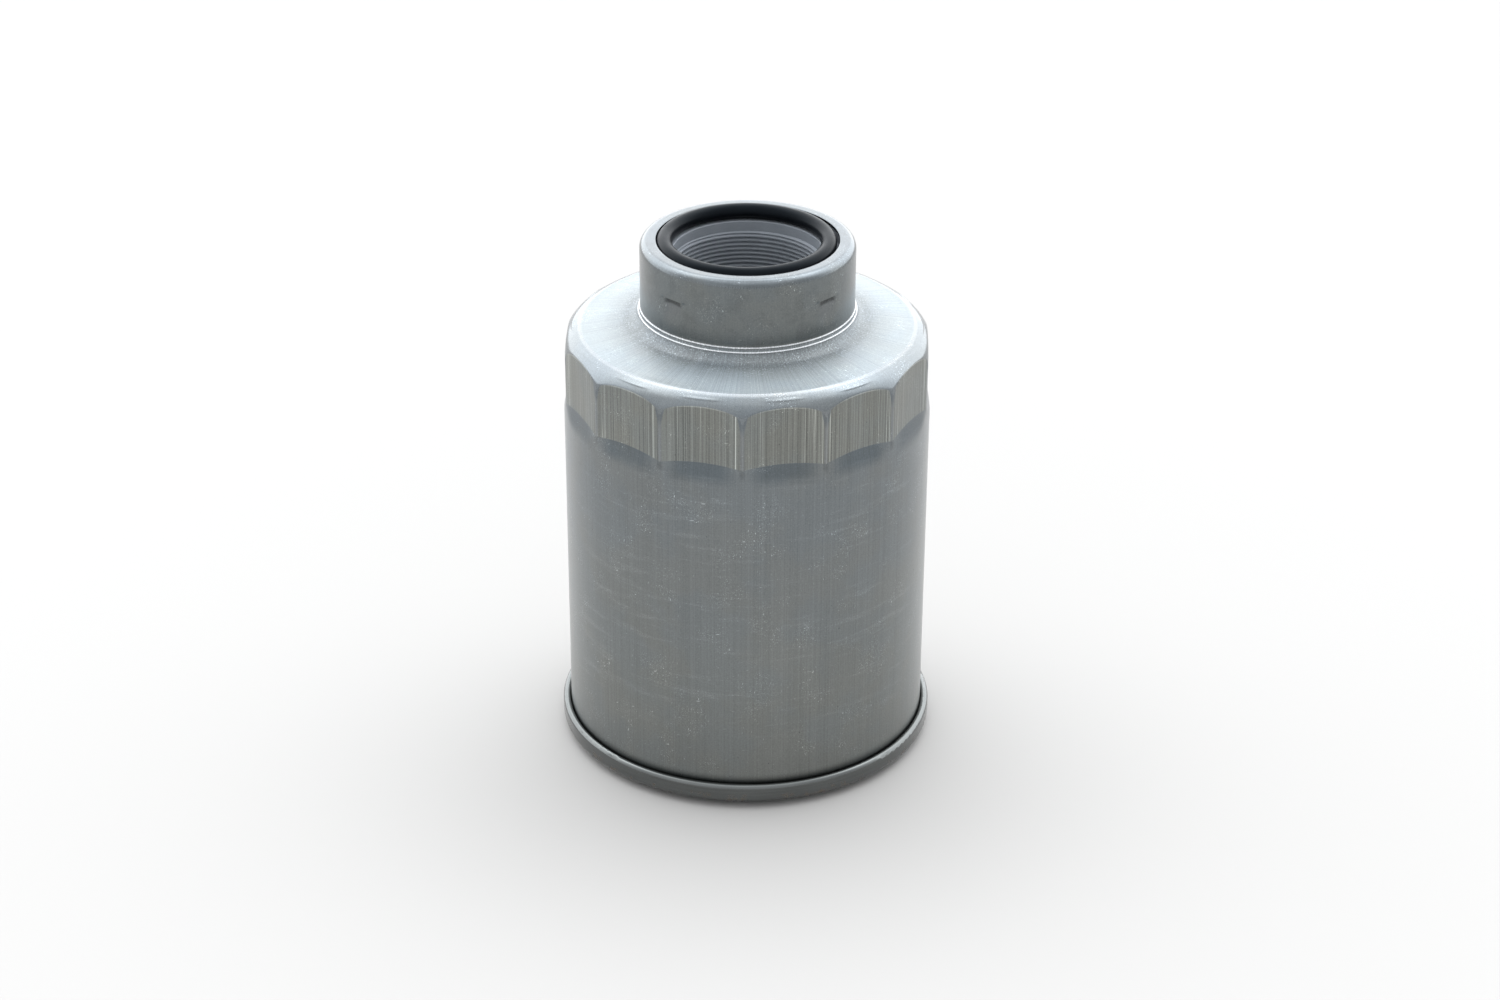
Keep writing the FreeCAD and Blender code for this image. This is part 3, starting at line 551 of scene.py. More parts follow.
def oring_mesh():
    """Round ring with the faint flash line that its mould leaves round the outside and the inside."""
    angles = np.degrees(even_azimuths(RING_SECTION_STEPS))
    outline = []
    for angle in angles:
        from_flash = math.sin(math.radians(angle)) * RING_WIRE_R / FLASH_WIDTH
        size = RING_WIRE_R - FLASH_HEIGHT + FLASH_HEIGHT * math.exp(-from_flash * from_flash)
        lift = math.radians(angle)
        outline.append((RING_MEAN_R + size * math.cos(lift), size * math.sin(lift)))
    mesh = turned_mesh("neck_oring_skin", outline, even_azimuths(ROUND_COLUMNS))
    mesh.transform(Matrix.Translation((-RING_OFFSET * MM, 0.0, RING_CENTRE_Z * MM)))
    return mesh


def spring_height(turns):
    """Rise of the wire after some turns: touching end turns and even turns between them."""
    closed_pitch = 2.0 * SPRING_WIRE_R + SPRING_TOUCH_GAP
    active = SPRING_TURNS - 2.0 * SPRING_CLOSED_TURNS
    travel = SPRING_TOP - SPRING_WIRE_R - SPRING_FLOOR
    active_pitch = (travel - 2.0 * SPRING_CLOSED_TURNS * closed_pitch) / active
    low = min(turns, SPRING_CLOSED_TURNS)
    middle = min(max(turns - SPRING_CLOSED_TURNS, 0.0), active)
    high = max(turns - SPRING_CLOSED_TURNS - active, 0.0)
    return SPRING_FLOOR + (low + high) * closed_pitch + middle * active_pitch


def spring_mesh():
    """Round wire coil with cut ends."""
    turns = np.linspace(0.0, SPRING_TURNS, SPRING_STEPS + 1)
    angle = turns * TURN
    level = np.array([spring_height(t) for t in turns])
    centre = np.stack([SPRING_MEAN_R * np.cos(angle), SPRING_MEAN_R * np.sin(angle), level], -1)
    along = np.gradient(centre, axis=0)
    along /= np.linalg.norm(along, axis=1)[:, None]
    out = np.stack([np.cos(angle), np.sin(angle), 0.0 * angle], -1)
    up = np.cross(out, along)
    section = even_azimuths(SPRING_SECTION_STEPS)
    rings = centre[:, None] + SPRING_WIRE_R * (
        np.cos(section)[None, :, None] * out[:, None] + np.sin(section)[None, :, None] * up[:, None]
    )
    count = SPRING_SECTION_STEPS
    faces = []
    for row in range(SPRING_STEPS):
        for k in range(count):
            after = (k + 1) % count
            here = row * count
            ahead = here + count
            faces.append((here + k, here + after, ahead + after, ahead + k))
    faces.append(tuple(reversed(range(count))))
    faces.append(tuple(range(SPRING_STEPS * count, (SPRING_STEPS + 1) * count)))
    mesh = bpy.data.meshes.new("element_spring_skin")
    mesh.from_pydata((rings.reshape(-1, 3) * MM).tolist(), [], faces)
    mesh.update()
    return mesh


# ---------------------------------------------------------------- finishes

class Nodes:
    """Node tree with short ways to add the maths that places marks; positions are in millimetres."""

    def __init__(self, tree):
        self.tree = tree
        self.place = None

    def add(self, kind, **settings):
        """New node of a kind, with some of its settings."""
        node = self.tree.nodes.new(kind)
        for name, value in settings.items():
            setattr(node, name, value)
        return node

    def feed(self, socket, value):
        """Links a socket to another node, or gives it a fixed value."""
        if isinstance(value, bpy.types.NodeSocket):
            self.tree.links.new(value, socket)
        else:
            socket.default_value = value

    def math(self, operation, *values):
        """Result of one operation on numbers."""
        node = self.add("ShaderNodeMath", operation=operation)
        for socket, value in zip(node.inputs, values):
            self.feed(socket, value)
        return node.outputs[0]

    def times(self, *values):
        """Product of numbers."""
        result = values[0]
        for value in values[1:]:
            result = self.math("MULTIPLY", result, value)
        return result

    def plus(self, *values):
        """Sum of numbers."""
        result = values[0]
        for value in values[1:]:
            result = self.math("ADD", result, value)
        return result

    def step(self, value, low, high, start=0.0, end=1.0):
        """Smooth change from start to end while value goes from low to high."""
        node = self.add("ShaderNodeMapRange", interpolation_type="SMOOTHSTEP")
        for name, number in (("From Min", low), ("From Max", high), ("To Min", start), ("To Max", end)):
            self.feed(node.inputs[name], number)
        self.feed(node.inputs["Value"], value)
        return node.outputs["Result"]

    def vector(self, x, y, z):
        """Vector from three numbers."""
        node = self.add("ShaderNodeCombineXYZ")
        for socket, value in zip(node.inputs, (x, y, z)):
            self.feed(socket, value)
        return node.outputs[0]

    def split(self, vector):
        """The three numbers of a vector."""
        node = self.add("ShaderNodeSeparateXYZ")
        self.feed(node.inputs[0], vector)
        return node.outputs[:]

    def scaled(self, vector, factor):
        """Vector times a number."""
        node = self.add("ShaderNodeVectorMath", operation="SCALE")
        self.feed(node.inputs[0], vector)
        self.feed(node.inputs["Scale"], factor)
        return node.outputs[0]

    def stretched(self, tilt, sizes):
        """Positions in a tilted frame whose unit is a different length along each axis."""
        node = self.add("ShaderNodeMapping", vector_type="TEXTURE")
        self.feed(node.inputs["Vector"], self.place)
        node.inputs["Rotation"].default_value = [math.radians(a) for a in tilt]
        node.inputs["Scale"].default_value = sizes
        return node.outputs[0]

    def noise(self, vector, scale=1.0, detail=3.0, roughness=0.55, distortion=0.0):
        """Cloudy noise round one half."""
        node = self.add("ShaderNodeTexNoise")
        self.feed(node.inputs["Vector"], vector)
        node.inputs["Scale"].default_value = scale
        node.inputs["Detail"].default_value = detail
        node.inputs["Roughness"].default_value = roughness
        node.inputs["Distortion"].default_value = distortion
        return node.outputs[0]

    def spots(self, vector, size, share):
        """Mask of scattered rounded marks: size is their radius in cells, share how many cells have one."""
        node = self.add("ShaderNodeTexVoronoi")
        self.feed(node.inputs["Vector"], vector)
        node.inputs["Scale"].default_value = 1.0
        chance = self.split(node.outputs["Color"])[0]
        near = self.step(node.outputs["Distance"], size, size * 0.4)
        return self.times(near, self.math("LESS_THAN", chance, share))

    def mix(self, share, first, second):
        """Blend of two colours or of two numbers."""
        is_colour = not isinstance(first, float) and not isinstance(second, float)
        node = self.add("ShaderNodeMix", data_type="RGBA" if is_colour else "FLOAT")
        names = [s for s in node.inputs if s.enabled]
        for socket, value in zip(names, (share, first, second)):
            self.feed(socket, value)
        return [s for s in node.outputs if s.enabled][0]

    def shade(self, colour, share):
        """Colour made lighter or darker by a number round 1."""
        return self.scaled(self.three(colour), share)

    def tinted(self, level, tint):
        """Colour or level times a tint."""
        node = self.add("ShaderNodeVectorMath", operation="MULTIPLY")
        self.feed(node.inputs[0], level)
        self.feed(node.inputs[1], self.three(tint))
        return node.outputs[0]

    def three(self, colour):
        """Colour as a vector socket takes it: a fixed colour loses its alpha."""
        return colour if isinstance(colour, bpy.types.NodeSocket) else colour[:3]


class Finish(Nodes):
    """Material with a Principled shader, fed from positions in the part's frame."""

    def __init__(self, slot, metallic=0.0):
        self.material = bpy.data.materials.new(slot + "_finish")
        self.material.use_nodes = True
        super().__init__(self.material.node_tree)
        self.shader = self.tree.nodes["Principled BSDF"]
        self.shader.inputs["Metallic"].default_value = metallic
        spot = self.add("ShaderNodeTexCoord").outputs["Object"]
        self.place = self.scaled(spot, 1.0 / MM)
        self.x, self.y, self.z = self.split(self.place)
        squares = self.plus(self.times(self.x, self.x), self.times(self.y, self.y))
        self.radius = self.math("SQRT", squares)
        self.out_x = self.math("DIVIDE", self.x, self.radius)
        self.out_y = self.math("DIVIDE", self.y, self.radius)

    def coat(self, weight, roughness):
        """Thin clear film of oil or passivation over the metal."""
        self.shader.inputs["Coat Weight"].default_value = weight
        self.shader.inputs["Coat Roughness"].default_value = roughness

    def drawn(self, lines_round, along):
        """Positions for lines that run up the wall and in along the shoulder."""
        x = self.times(self.out_x, lines_round)
        y = self.times(self.out_y, lines_round)
        return self.vector(x, y, self.times(self.z, along))

    def turned(self, scale, along):
        """Positions for lines that run round the axis."""
        x = self.times(self.out_x, along)
        y = self.times(self.out_y, along)
        return self.vector(x, y, self.times(self.plus(self.radius, self.z), scale))

    def end(self, colour, roughness, height=None, depth=0.01):
        """Feeds the shader; depth is the height of the relief in millimetres."""
        self.feed(self.shader.inputs["Base Color"], colour)
        self.feed(self.shader.inputs["Roughness"], roughness)
        if height is not None:
            bump = self.add("ShaderNodeBump")
            bump.inputs["Distance"].default_value = depth * MM
            self.feed(bump.inputs["Height"], height)
            self.feed(self.shader.inputs["Normal"], bump.outputs["Normal"])
        return self.material


class ShellFinish(Finish):
    """Zinc-plated drawn steel: draw lines up the wall, ironed flats, scuffs, fine scratches and pits, with
    painted shade and painted highlights.
    """

    def __init__(self):
        super().__init__("shell_steel", metallic=1.0)
        self.coat(0.3, 0.16)
        self.find_flats()
        self.find_zones()
        self.find_dents()
        self.find_lines()
        self.find_wear()
        self.feed(self.shader.inputs["Metallic"], self.mix(self.satin, 1.0, 0.25))
        relief = self.plus(
            self.times(self.fine, self.mix(self.flat, 0.3, 1.0)),
            self.times(self.grain, 0.16),
            self.times(self.scratch, -0.8),
        )
        self.end(self.shade(self.base_colour(), self.brightness()), self.roughness(), relief, depth=0.005)

    def band(self, value, start, end):
        """Mask of a band: start and end are each a pair of values between which it comes in."""
        return self.times(self.step(value, *start), self.step(value, *end))

    def find_flats(self):
        """Masks of the wrench flats, the shoulder over their arched tops and the ramps under them."""
        azimuth = self.math("ARCTAN2", self.y, self.x)
        turned = self.plus(azimuth, FACET / 2.0 - FLAT_AZIMUTH)
        across = self.math("SUBTRACT", self.math("FLOORED_MODULO", turned, FACET), FACET / 2.0)
        self.corner = self.math("ABSOLUTE", self.times(across, 2.0 / FACET))
        centre_r, centre_z = shoulder_centre()
        out = self.math("SUBTRACT", self.math("DIVIDE", FLAT_APOTHEM, self.math("COSINE", across)), centre_r)
        rise = self.math("SUBTRACT", SHOULDER_ROUND ** 2, self.times(out, out))
        arch = self.plus(self.math("SQRT", self.math("MAXIMUM", rise, 0.0)), centre_z)
        knee = self.math("SUBTRACT", KNEE_Z, self.times(KNEE_DROP, self.corner, self.corner))
        under_arch = self.math("SUBTRACT", arch, self.z)
        over_knee = self.math("SUBTRACT", self.z, knee)
        self.flat = self.times(self.step(under_arch, *ARCH_EDGE), self.step(over_knee, *KNEE_EDGE))
        self.shoulder = self.step(under_arch, *SHOULDER_EDGE)
        from_burr = self.math("ABSOLUTE", self.plus(under_arch, BURR_OFFSET))
        self.burr = self.times(self.step(from_burr, *BURR_REACH), self.step(self.corner, *BURR_MIDDLE))
        under_knee = self.band(over_knee, RAMP_ABOVE, RAMP_BELOW)
        self.ramp = self.times(under_knee, self.step(self.corner, *RAMP_MIDDLE))
        # Painted shade in the V under each corner between flats.
        beside_knee = self.band(over_knee, NOTCH_ABOVE, NOTCH_BELOW)
        self.notch_shade = self.times(self.step(self.corner, *NOTCH_CORNER), beside_knee)
        fork_reach = self.step(self.z, *FORK_HEIGHTS, *FORK_SHARES)
        self.fork = self.step(self.math("SUBTRACT", self.corner, fork_reach), *FORK_SIDE)

    def find_zones(self):
        """Masks of the shoulder's slope and crest, the ledges and the lip with their painted highlights, the
        neck with painted shade at its foot, and the painted shade in the crevice.
        """
        rim = self.step(self.radius, *SATIN_RIM)
        self.satin = self.times(rim, self.band(self.z, SATIN_INSIDE, SATIN_OUTSIDE))
        self.crest = self.times(self.band(self.radius, CREST_INSIDE, CREST_OUTSIDE), self.shoulder)
        self.neck = self.step(self.z, *NECK_FOOT)
        # Painted shade: the neck darkens toward its foot.
        self.foot = self.times(self.step(self.z, *NECK_FOOT_SHADE), self.neck)
        self.lip = self.step(self.z, *LIP_BEND)
        # Painted highlight along the top of the lip's round.
        self.lip_highlight = self.band(self.z, LIP_HIGHLIGHT_FOOT, LIP_HIGHLIGHT_TOP)
        # Painted shade in the crevice just above the seam's bead.
        self.crevice = self.step(self.z, *CREVICE_SHADE)
        # Painted highlights: thin near-white lines along the ledges at the neck's foot.
        self.ledge_highlight = 0.0
        for level in LEDGE_LEVELS:
            off = self.math("ABSOLUTE", self.plus(self.z, 0.5 * LEDGE_ROUND - level))
            shine = self.times(self.step(off, *LEDGE_SHINE), self.step(self.radius, *LEDGE_RIM))
            self.ledge_highlight = self.plus(self.ledge_highlight, shine)

    def find_dents(self):
        """Masks of the painted shade along the upper edge of each staking dent and on the pressed face under
        it.
        """
        self.dent = 0.0
        self.dent_face_shade = 0.0
        low = self.band(self.z, DENT_FACE_FOOT, DENT_FACE_TOP)
        for azimuth in DENT_AZIMUTHS:
            forward = self.plus(self.times(self.x, math.cos(azimuth)), self.times(self.y, math.sin(azimuth)))
            side = self.plus(self.times(self.y, math.cos(azimuth)), self.times(self.x, -math.sin(azimuth)))
            level = self.plus(self.z, self.times(side, side, DENT_BOW))
            # Painted shade under the step at the dent's top.
            high = self.band(level, DENT_SHADE_FOOT, DENT_SHADE_TOP)
            inside = self.step(self.math("ABSOLUTE", side), *DENT_SHADE_SIDE)
            near = self.times(inside, self.step(forward, *DENT_SAME_SIDE))
            self.dent = self.plus(self.dent, self.times(near, high))
            self.dent_face_shade = self.plus(self.dent_face_shade, self.times(near, low))

    def find_lines(self):
        """Draw lines, broad streaks, mottle and grain of the sheet, and a painted glitter highlight on the
        slope near the neck.
        """
        drawn = self.noise(self.drawn(*DRAW_LINES), detail=4.0, roughness=0.75)
        self.fine = self.step(drawn, 0.32, 0.68)
        self.fine_off = self.math("SUBTRACT", self.fine, 0.5)
        self.broad = self.noise(self.drawn(*STREAKS), detail=4.0, roughness=0.6)
        self.cloud = self.noise(self.place, scale=0.045, detail=4.0)
        self.grain = self.noise(self.place, scale=3.2, detail=3.0, roughness=0.75)
        sparse = self.noise(self.drawn(*BRIGHT_LINES), detail=1.0)
        more_at_corners = self.step(self.corner, *BRIGHT_CORNER, 0.0, 0.09)
        self.bright_line = self.step(self.plus(sparse, more_at_corners), 0.68, 0.76)
        # Painted highlight: bright sparkle on the slope near the neck.
        sparkle = self.step(self.grain, *GLITTER_HIGHLIGHT_GRAIN)
        self.glitter_highlight = self.times(sparkle, self.step(self.radius, *GLITTER_HIGHLIGHT_RIM), self.satin)

    def find_wear(self):
        """Scuffs that run round the body, scratches three ways, pits and grime."""
        rows = self.noise(self.stretched((0, 0, 0), (19.0, 19.0, 1.8)), detail=5.0, roughness=0.7)
        speck = self.step(self.noise(self.place, scale=5.5, detail=1.0), 0.54, 0.66)
        body = self.band(self.z, SMUDGE_TOP, SMUDGE_FOOT)
        self.smudge = self.times(self.step(rows, 0.52, 0.68), self.plus(0.15, speck), body)
        patchy = self.step(self.noise(self.place, scale=0.13, detail=2.0), 0.52, 0.64)
        any_way = 0.0
        for tilt, sizes in SCRATCHES:
            one_way = self.spots(self.stretched(tilt, sizes), 0.3, 0.03)
            any_way = self.math("MAXIMUM", any_way, one_way)
        scuff = self.times(patchy, speck, self.step(self.grain, 0.5, 0.6))
        scratch = self.times(any_way, self.plus(0.3, patchy))
        self.scratch = self.math("MAXIMUM", scratch, self.times(scuff, 0.6))
        self.pit = self.spots(self.scaled(self.place, 0.6), 0.12, 0.07)
        grime = self.noise(self.place, scale=0.22, detail=4.0, roughness=0.65, distortion=0.6)
        self.dirt = self.step(grime, 0.45, 0.65)

    def base_colour(self):
        """Colour of each zone, with painted shade on the ramps, the corners and the dent faces, a painted
        highlight on the crest and near-white painted highlights on the ledges, drifting a little between
        warm and cool.
        """
        colour = self.mix(self.step(self.z, *BODY_HEIGHTS), BODY_LOW, BODY_HIGH)
        colour = self.mix(self.flat, colour, FLAT_COLOUR)
        # Painted shade: the clear metal near the corners turns darker and bluer toward the shoulder.
        clear = self.mix(self.step(self.z, *FORK_BLUE), CORNER_COLOUR, FORK_SHADE_COLOUR)
        colour = self.mix(self.times(self.flat, self.fork), colour, clear)
        colour = self.mix(self.shoulder, colour, SHOULDER_COLOUR)
        # Painted highlight: the crest is lighter than the rest of the shoulder.
        colour = self.mix(self.crest, colour, CREST_HIGHLIGHT_COLOUR)
        colour = self.mix(self.satin, colour, SLOPE_COLOUR)
        colour = self.mix(self.neck, colour, NECK_COLOUR)
        # Painted shade: the pressed face under each dent is darker and bluer.
        colour = self.mix(self.times(self.dent_face_shade, 0.5), colour, DENT_FACE_SHADE_COLOUR)
        colour = self.mix(self.lip, colour, LIP_COLOUR)
        # Painted shade: the ramps under the flats are darker and bluer.
        colour = self.mix(self.ramp, colour, RAMP_SHADE_COLOUR)
        warm = self.step(self.noise(self.place, scale=0.07, detail=3.0), 0.4, 0.6)
        colour = self.tinted(colour, self.mix(warm, COOL_TINT, WARM_TINT))
        # Painted highlight: the ledge lines are mixed toward near white.
        return self.mix(self.ledge_highlight, colour, LEDGE_HIGHLIGHT_COLOUR)

    def brightness(self):
        """Share by which lines, wear, grime, painted shade and painted highlights make the colour lighter or
        darker.
        """
        smooth_corner = self.plus(1.0, self.times(self.fork, self.flat, -0.8))
        lines = self.mix(self.flat, 0.2, 0.85)
        lines = self.mix(self.shoulder, lines, 0.1)
        lines = self.mix(self.satin, lines, 0.42)
        lines = self.times(lines, smooth_corner)
        level = self.plus(
            0.84,
            self.times(self.fine_off, lines),
            self.times(self.broad, self.mix(self.flat, 0.14, 0.26)),
            self.times(self.cloud, 0.18),
            self.times(self.smudge, 0.5),
            self.times(self.bright_line, self.flat, smooth_corner, 2.0),
            self.times(self.burr, 0.6),
            self.times(self.scratch, 1.7),
            self.times(self.pit, -0.4),
            # Painted shade along the top edge of each dent.
            self.times(self.dent, -0.6),
            # Painted shade at the foot of the neck, where it meets the shoulder.
            self.times(self.foot, -0.2),
            # Painted glitter highlight.
            self.times(self.glitter_highlight, 0.7),
            # Painted highlight on the lip.
            self.times(self.lip_highlight, 0.35),
            self.times(self.math("SUBTRACT", self.grain, 0.5), 0.65),
            # Painted shade on the slope, darker toward the neck's root.
            self.times(self.satin, self.step(self.radius, *SATIN_FOOT_SHADE), -0.25),
            self.times(self.ledge_highlight, 0.3),
            self.times(self.satin, self.step(self.radius, *SATIN_ROOT_SHADE), -0.16),
            self.times(self.neck, self.dirt, -0.1),
            # Painted shade in the V under each corner between flats.
            self.times(self.notch_shade, -0.2),
        )
        # The crevice mask paints shade: the body darkens just above the seam's bead.
        return self.times(level, self.plus(1.0, self.times(self.crevice, -0.78)))

    def roughness(self):
        """Roughness of each zone: bright rounds, brushed flats and a satin slope."""
        rough = self.mix(self.flat, 0.3, 0.42)
        rough = self.mix(self.shoulder, rough, 0.16)
        rough = self.mix(self.satin, rough, 0.5)
        rough = self.mix(self.neck, rough, 0.3)
        rough = self.mix(self.lip, rough, 0.17)
        return self.plus(
            rough,
            self.times(self.fine_off, 0.08),
            self.times(self.smudge, 0.12),
            self.times(self.cloud, 0.05),
        )


def lid_finish():
    """Dark passivated steel with rolling marks round the seam, grime and a few warm stains at its foot."""
    f = Finish("lid_steel", metallic=1.0)
    f.coat(0.25, 0.1)
    rolled = f.step(f.noise(f.turned(3.2, 3.0), detail=3.0, roughness=0.65), 0.3, 0.7)
    cloud = f.noise(f.place, scale=0.08, detail=3.0)
    chatter = f.noise(f.drawn(60.0, 0.3), detail=2.0)
    rub = f.spots(f.stretched((88, 0, 40), (0.6, 0.6, 5.0)), 0.14, 0.06)
    blotch = f.noise(f.place, scale=0.35, detail=4.0, roughness=0.7)
    stain = f.times(f.step(blotch, 0.52, 0.66), f.step(f.z, *STAIN_TOP))
    shade = f.plus(
        0.76,
        f.times(rolled, 0.16),
        f.times(cloud, 0.26),
        f.times(rub, 0.35),
        f.times(stain, 0.35),
    )
    rough = f.plus(0.16, f.times(rolled, 0.04), f.times(cloud, 0.06), f.times(stain, 0.15))
    relief = f.plus(rolled, f.times(chatter, 0.6))
    colour = f.mix(stain, LID_COLOUR, STAIN_COLOUR)
    return f.end(f.shade(colour, shade), rough, relief, depth=0.004)


def insert_finish():
    """Machined and phosphated steel: turning lines and a dull even coat."""
    f = Finish("insert_steel", metallic=0.15)
    turned = f.noise(f.turned(6.0, 5.0), detail=3.0)
    cloud = f.noise(f.place, scale=0.2, detail=3.0)
    grain = f.noise(f.place, scale=3.0, detail=3.0)
    shade = f.plus(0.78, f.times(turned, 0.16), f.times(cloud, 0.18), f.times(grain, 0.1))
    rough = f.plus(0.5, f.times(grain, 0.12))
    f.shader.inputs["Specular IOR Level"].default_value = 0.2
    return f.end(f.shade(INSERT_COLOUR, shade), rough, f.plus(turned, f.times(grain, 0.6)), depth=0.01)


def plate_finish():
    """Thick zinc-plated plate with a crystalline mottle and punching marks."""
    f = Finish("plate_steel", metallic=1.0)
    mottle = f.noise(f.place, scale=0.5, detail=4.0, roughness=0.6, distortion=0.6)
    turned = f.noise(f.turned(1.6, 6.0), detail=3.0)
    rub = f.spots(f.stretched((88, 10, 20), (0.7, 0.7, 6.0)), 0.13, 0.05)
    shade = f.plus(0.8, f.times(mottle, 0.24), f.times(turned, 0.12), f.times(rub, 0.2))
    rough = f.plus(0.3, f.times(mottle, 0.16))
    return f.end(f.shade(PLATE_COLOUR, shade), rough, f.plus(mottle, turned), depth=0.008)


def tin_finish(slot, colour):
    """Thin tin-plated sheet with stamping lines."""
    f = Finish(slot, metallic=1.0)
    lines = f.noise(f.stretched((0, 0, 30), (0.25, 12.0, 12.0)), detail=4.0, roughness=0.7)
    cloud = f.noise(f.place, scale=0.12, detail=3.0)
    shade = f.plus(0.8, f.times(lines, 0.2), f.times(cloud, 0.2))
    rough = f.plus(0.24, f.times(lines, 0.14))
    return f.end(f.shade(colour, shade), rough, lines, depth=0.005)


def spring_finish():
    """Oiled spring wire with die lines."""
    f = Finish("spring_steel", metallic=1.0)
    die = f.noise(f.turned(5.0, 8.0), detail=3.0)
    cloud = f.noise(f.place, scale=0.25, detail=3.0)
    shade = f.plus(0.75, f.times(die, 0.25), f.times(cloud, 0.25))
    return f.end(f.shade(SPRING_COLOUR, shade), f.plus(0.26, f.times(die, 0.14)), die, depth=0.006)


def rubber_finish(slot, colour, roughness):
    """Moulded rubber: fine grain, faint bloom and a few specks of dust."""
    f = Finish(slot)
    bloom = f.step(f.noise(f.place, scale=0.18, detail=4.0, distortion=0.5), 0.35, 0.75)
    grain = f.noise(f.place, scale=5.0, detail=3.0, roughness=0.6)
    dust = f.spots(f.scaled(f.place, 0.9), 0.07, 0.06)
    shade = f.plus(0.8, f.times(bloom, 0.35), f.times(grain, 0.2), f.times(dust, 2.5))
    rough = f.plus(roughness, f.times(bloom, 0.12), f.times(grain, 0.08))
    f.shader.inputs["Specular IOR Level"].default_value = 0.08
    f.shader.inputs["Specular Tint"].default_value = RUBBER_SHEEN
    return f.end(f.shade(colour, shade), rough, grain, depth=0.012)


def paper_finish():
    """Resin-treated filter paper: tangled fibres and slight staining."""
    f = Finish("filter_paper")
    fibre = f.noise(f.stretched((20, 35, 10), (0.3, 0.9, 0.3)), detail=5.0, roughness=0.75, distortion=1.5)
    stain = f.noise(f.place, scale=0.1, detail=3.0)
    shade = f.plus(0.74, f.times(fibre, 0.36), f.times(stain, 0.2))
    f.shader.inputs["Specular IOR Level"].default_value = 0.25
    return f.end(f.shade(PAPER_COLOUR, shade), f.plus(0.8, f.times(fibre, 0.12)), fibre, depth=0.06)


def poured_finish(slot, colour):
    """Cured plastisol or sealing compound with small bubbles and a soft skin."""
    f = Finish(slot)
    swirl = f.noise(f.place, scale=0.25, detail=4.0, distortion=1.0)
    bubble = f.spots(f.scaled(f.place, 1.1), 0.2, 0.12)
    shade = f.plus(0.85, f.times(swirl, 0.28), f.times(bubble, -0.25))
    relief = f.plus(swirl, f.times(bubble, -1.5))
    return f.end(f.shade(colour, shade), f.plus(0.38, f.times(swirl, 0.2)), relief, depth=0.05)


def finishes():
    """One material for each material slot of the record."""
    return {
        "shell_steel": ShellFinish().material,
        "lid_steel": lid_finish(),
        "sealing_compound": poured_finish("sealing_compound", COMPOUND_COLOUR),
        "plate_steel": plate_finish(),
        "gasket_rubber": rubber_finish("gasket_rubber", GASKET_COLOUR, 0.48),
        "insert_steel": insert_finish(),
        "seal_rubber": rubber_finish("seal_rubber", RING_COLOUR, 0.24),
        "spring_steel": spring_finish(),
        "cap_steel": tin_finish("cap_steel", CAP_COLOUR),
        "tube_steel": tin_finish("tube_steel", TUBE_COLOUR),
        "filter_paper": paper_finish(),
        "potting_plastisol": poured_finish("potting_plastisol", POTTING_COLOUR),
        "grommet_rubber": rubber_finish("grommet_rubber", GROMMET_COLOUR, 0.5),
    }


# ---------------------------------------------------------------- object, floor, light and camera

def build_object():
    """Formed pieces over the CAD nodes they stand for, and a finish on everything."""
    spring = add_piece("element_spring_wire", spring_mesh(), "canister", "spring_steel", "element_spring")
    pieces = [
        add_piece("canister_shell_sheet", shell_mesh(), "canister", "shell_steel", "canister_shell"),
        add_piece("mounting_gasket_rubber", gasket_mesh(), "canister", "gasket_rubber", "mounting_gasket"),
        add_piece("neck_oring_rubber", oring_mesh(), "port_ring", "seal_rubber", "neck_oring"),
        spring,
    ]
    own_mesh(spring)
    materials = finishes()
    for piece in pieces:
        piece.data.materials.append(materials[piece["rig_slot"]])
    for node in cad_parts.values():
        slot = node.data.materials[0].name.split(".")[0]
        node.data.materials[0] = materials[slot]


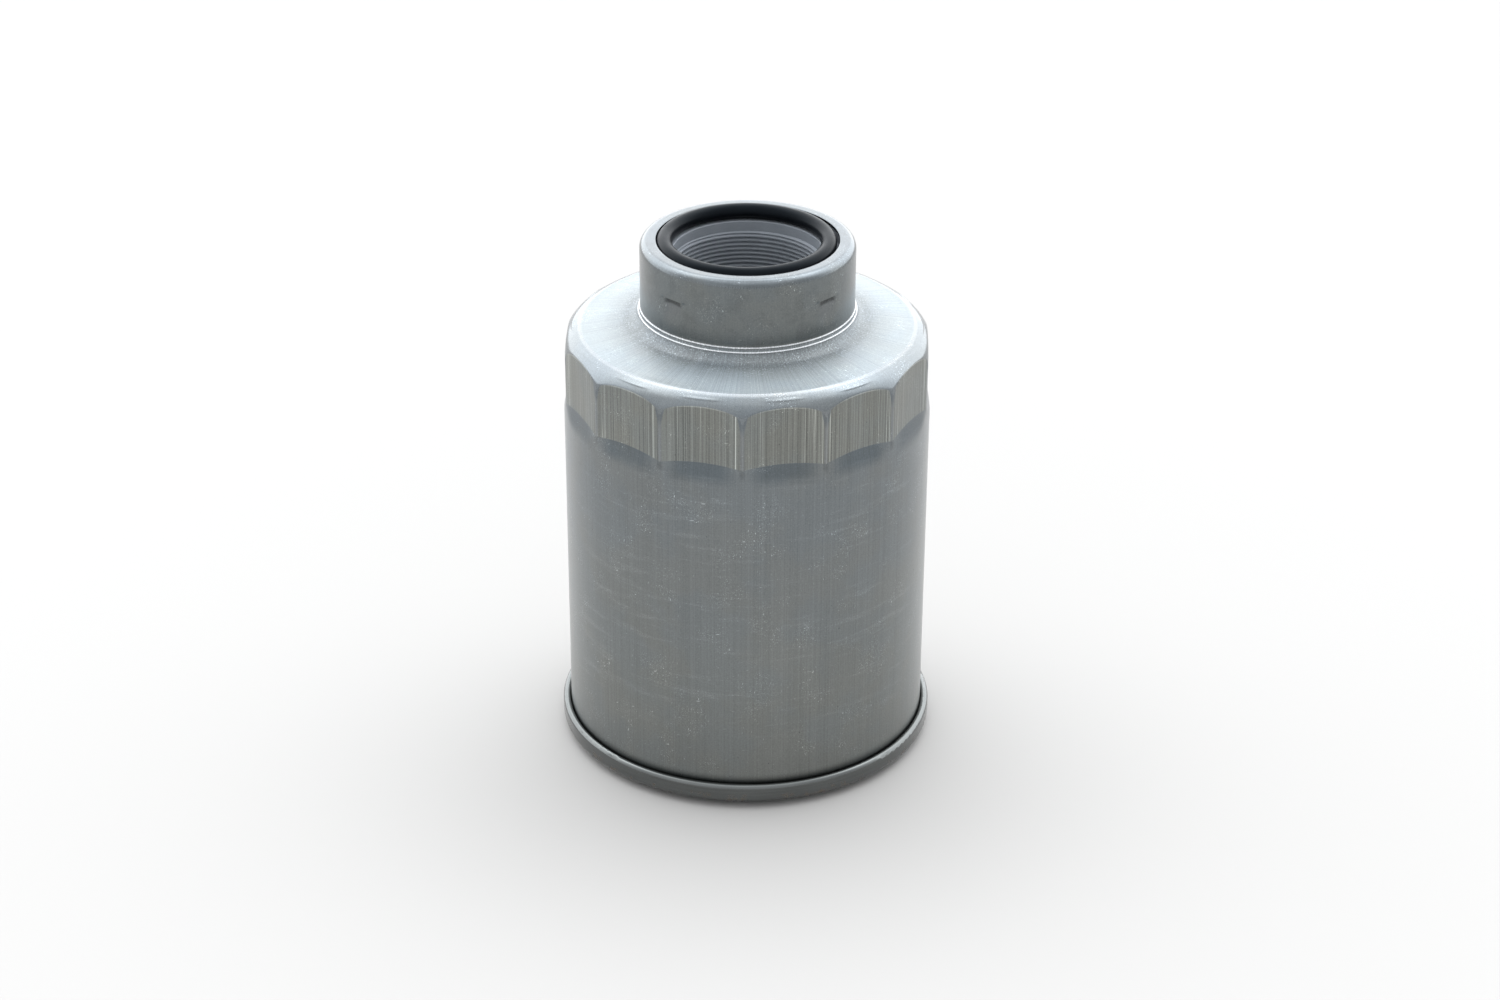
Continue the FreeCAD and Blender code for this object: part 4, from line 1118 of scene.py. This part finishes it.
def floor():
    """Pale matt floor that fills the view."""
    bpy.ops.mesh.primitive_plane_add(size=FLOOR_SIZE)
    plane = bpy.context.object
    plane.name = "floor"
    material = bpy.data.materials.new("floor_pale")
    material.use_nodes = True
    shader = material.node_tree.nodes["Principled BSDF"]
    shader.inputs["Base Color"].default_value = FLOOR_COLOUR
    shader.inputs["Roughness"].default_value = 0.9
    shader.inputs["Specular IOR Level"].default_value = 0.1
    plane.data.materials.append(material)


def ramp(nodes, height, stops):
    """Grey level by height; each stop is (sine of the height angle, level)."""
    node = nodes.add("ShaderNodeValToRGB")
    node.color_ramp.interpolation = "EASE"
    elements = node.color_ramp.elements
    while len(elements) < len(stops):
        elements.new(0.5)
    for element, (place, level) in zip(elements, stops):
        element.position = place
        element.color = (level, level, level, 1.0)
    nodes.feed(node.inputs[0], height)
    return node.outputs[0]


def studio():
    """Soft light from all round: bright behind and overhead, calmer in front, a faint fill at one side."""
    world = bpy.data.worlds.new("soft_studio")
    world.use_nodes = True
    bpy.context.scene.world = world
    nodes = Nodes(world.node_tree)
    background = world.node_tree.nodes["Background"]
    x, y, z = nodes.split(nodes.add("ShaderNodeTexCoord").outputs["Generated"])
    behind = nodes.step(y, *BEHIND)
    front = ramp(nodes, z, FRONT_LIGHT)
    back = ramp(nodes, z, BACK_LIGHT)
    beside = nodes.plus(nodes.times(x, FILL_TOWARD[0]), nodes.times(y, FILL_TOWARD[1]))
    fill = nodes.step(beside, *FILL_SPREAD, 0.0, FILL_LEVEL)
    level = nodes.plus(nodes.mix(behind, front, back), fill)
    nodes.feed(background.inputs["Color"], nodes.tinted(level, SKY_TINT))
    background.inputs["Strength"].default_value = SKY_STRENGTH


def camera():
    """Camera that sees the object as the photograph does."""
    data = bpy.data.cameras.new("camera")
    data.lens = LENS
    data.sensor_width = SENSOR
    data.clip_start = CLIP_START
    eye = bpy.data.objects.new("camera", data)
    bpy.context.scene.collection.objects.link(eye)
    eye.location = CAMERA_PLACE
    toward = Vector(CAMERA_TARGET) - Vector(CAMERA_PLACE)
    aim = toward.to_track_quat("-Z", "Y").to_matrix().to_4x4()
    eye.matrix_world = Matrix.Translation(CAMERA_PLACE) @ aim @ Matrix.Rotation(CAMERA_ROLL, 4, "Z")
    bpy.context.scene.camera = eye


bpy.context.scene.view_settings.view_transform = "Standard"
build_object()
floor()
studio()
camera()
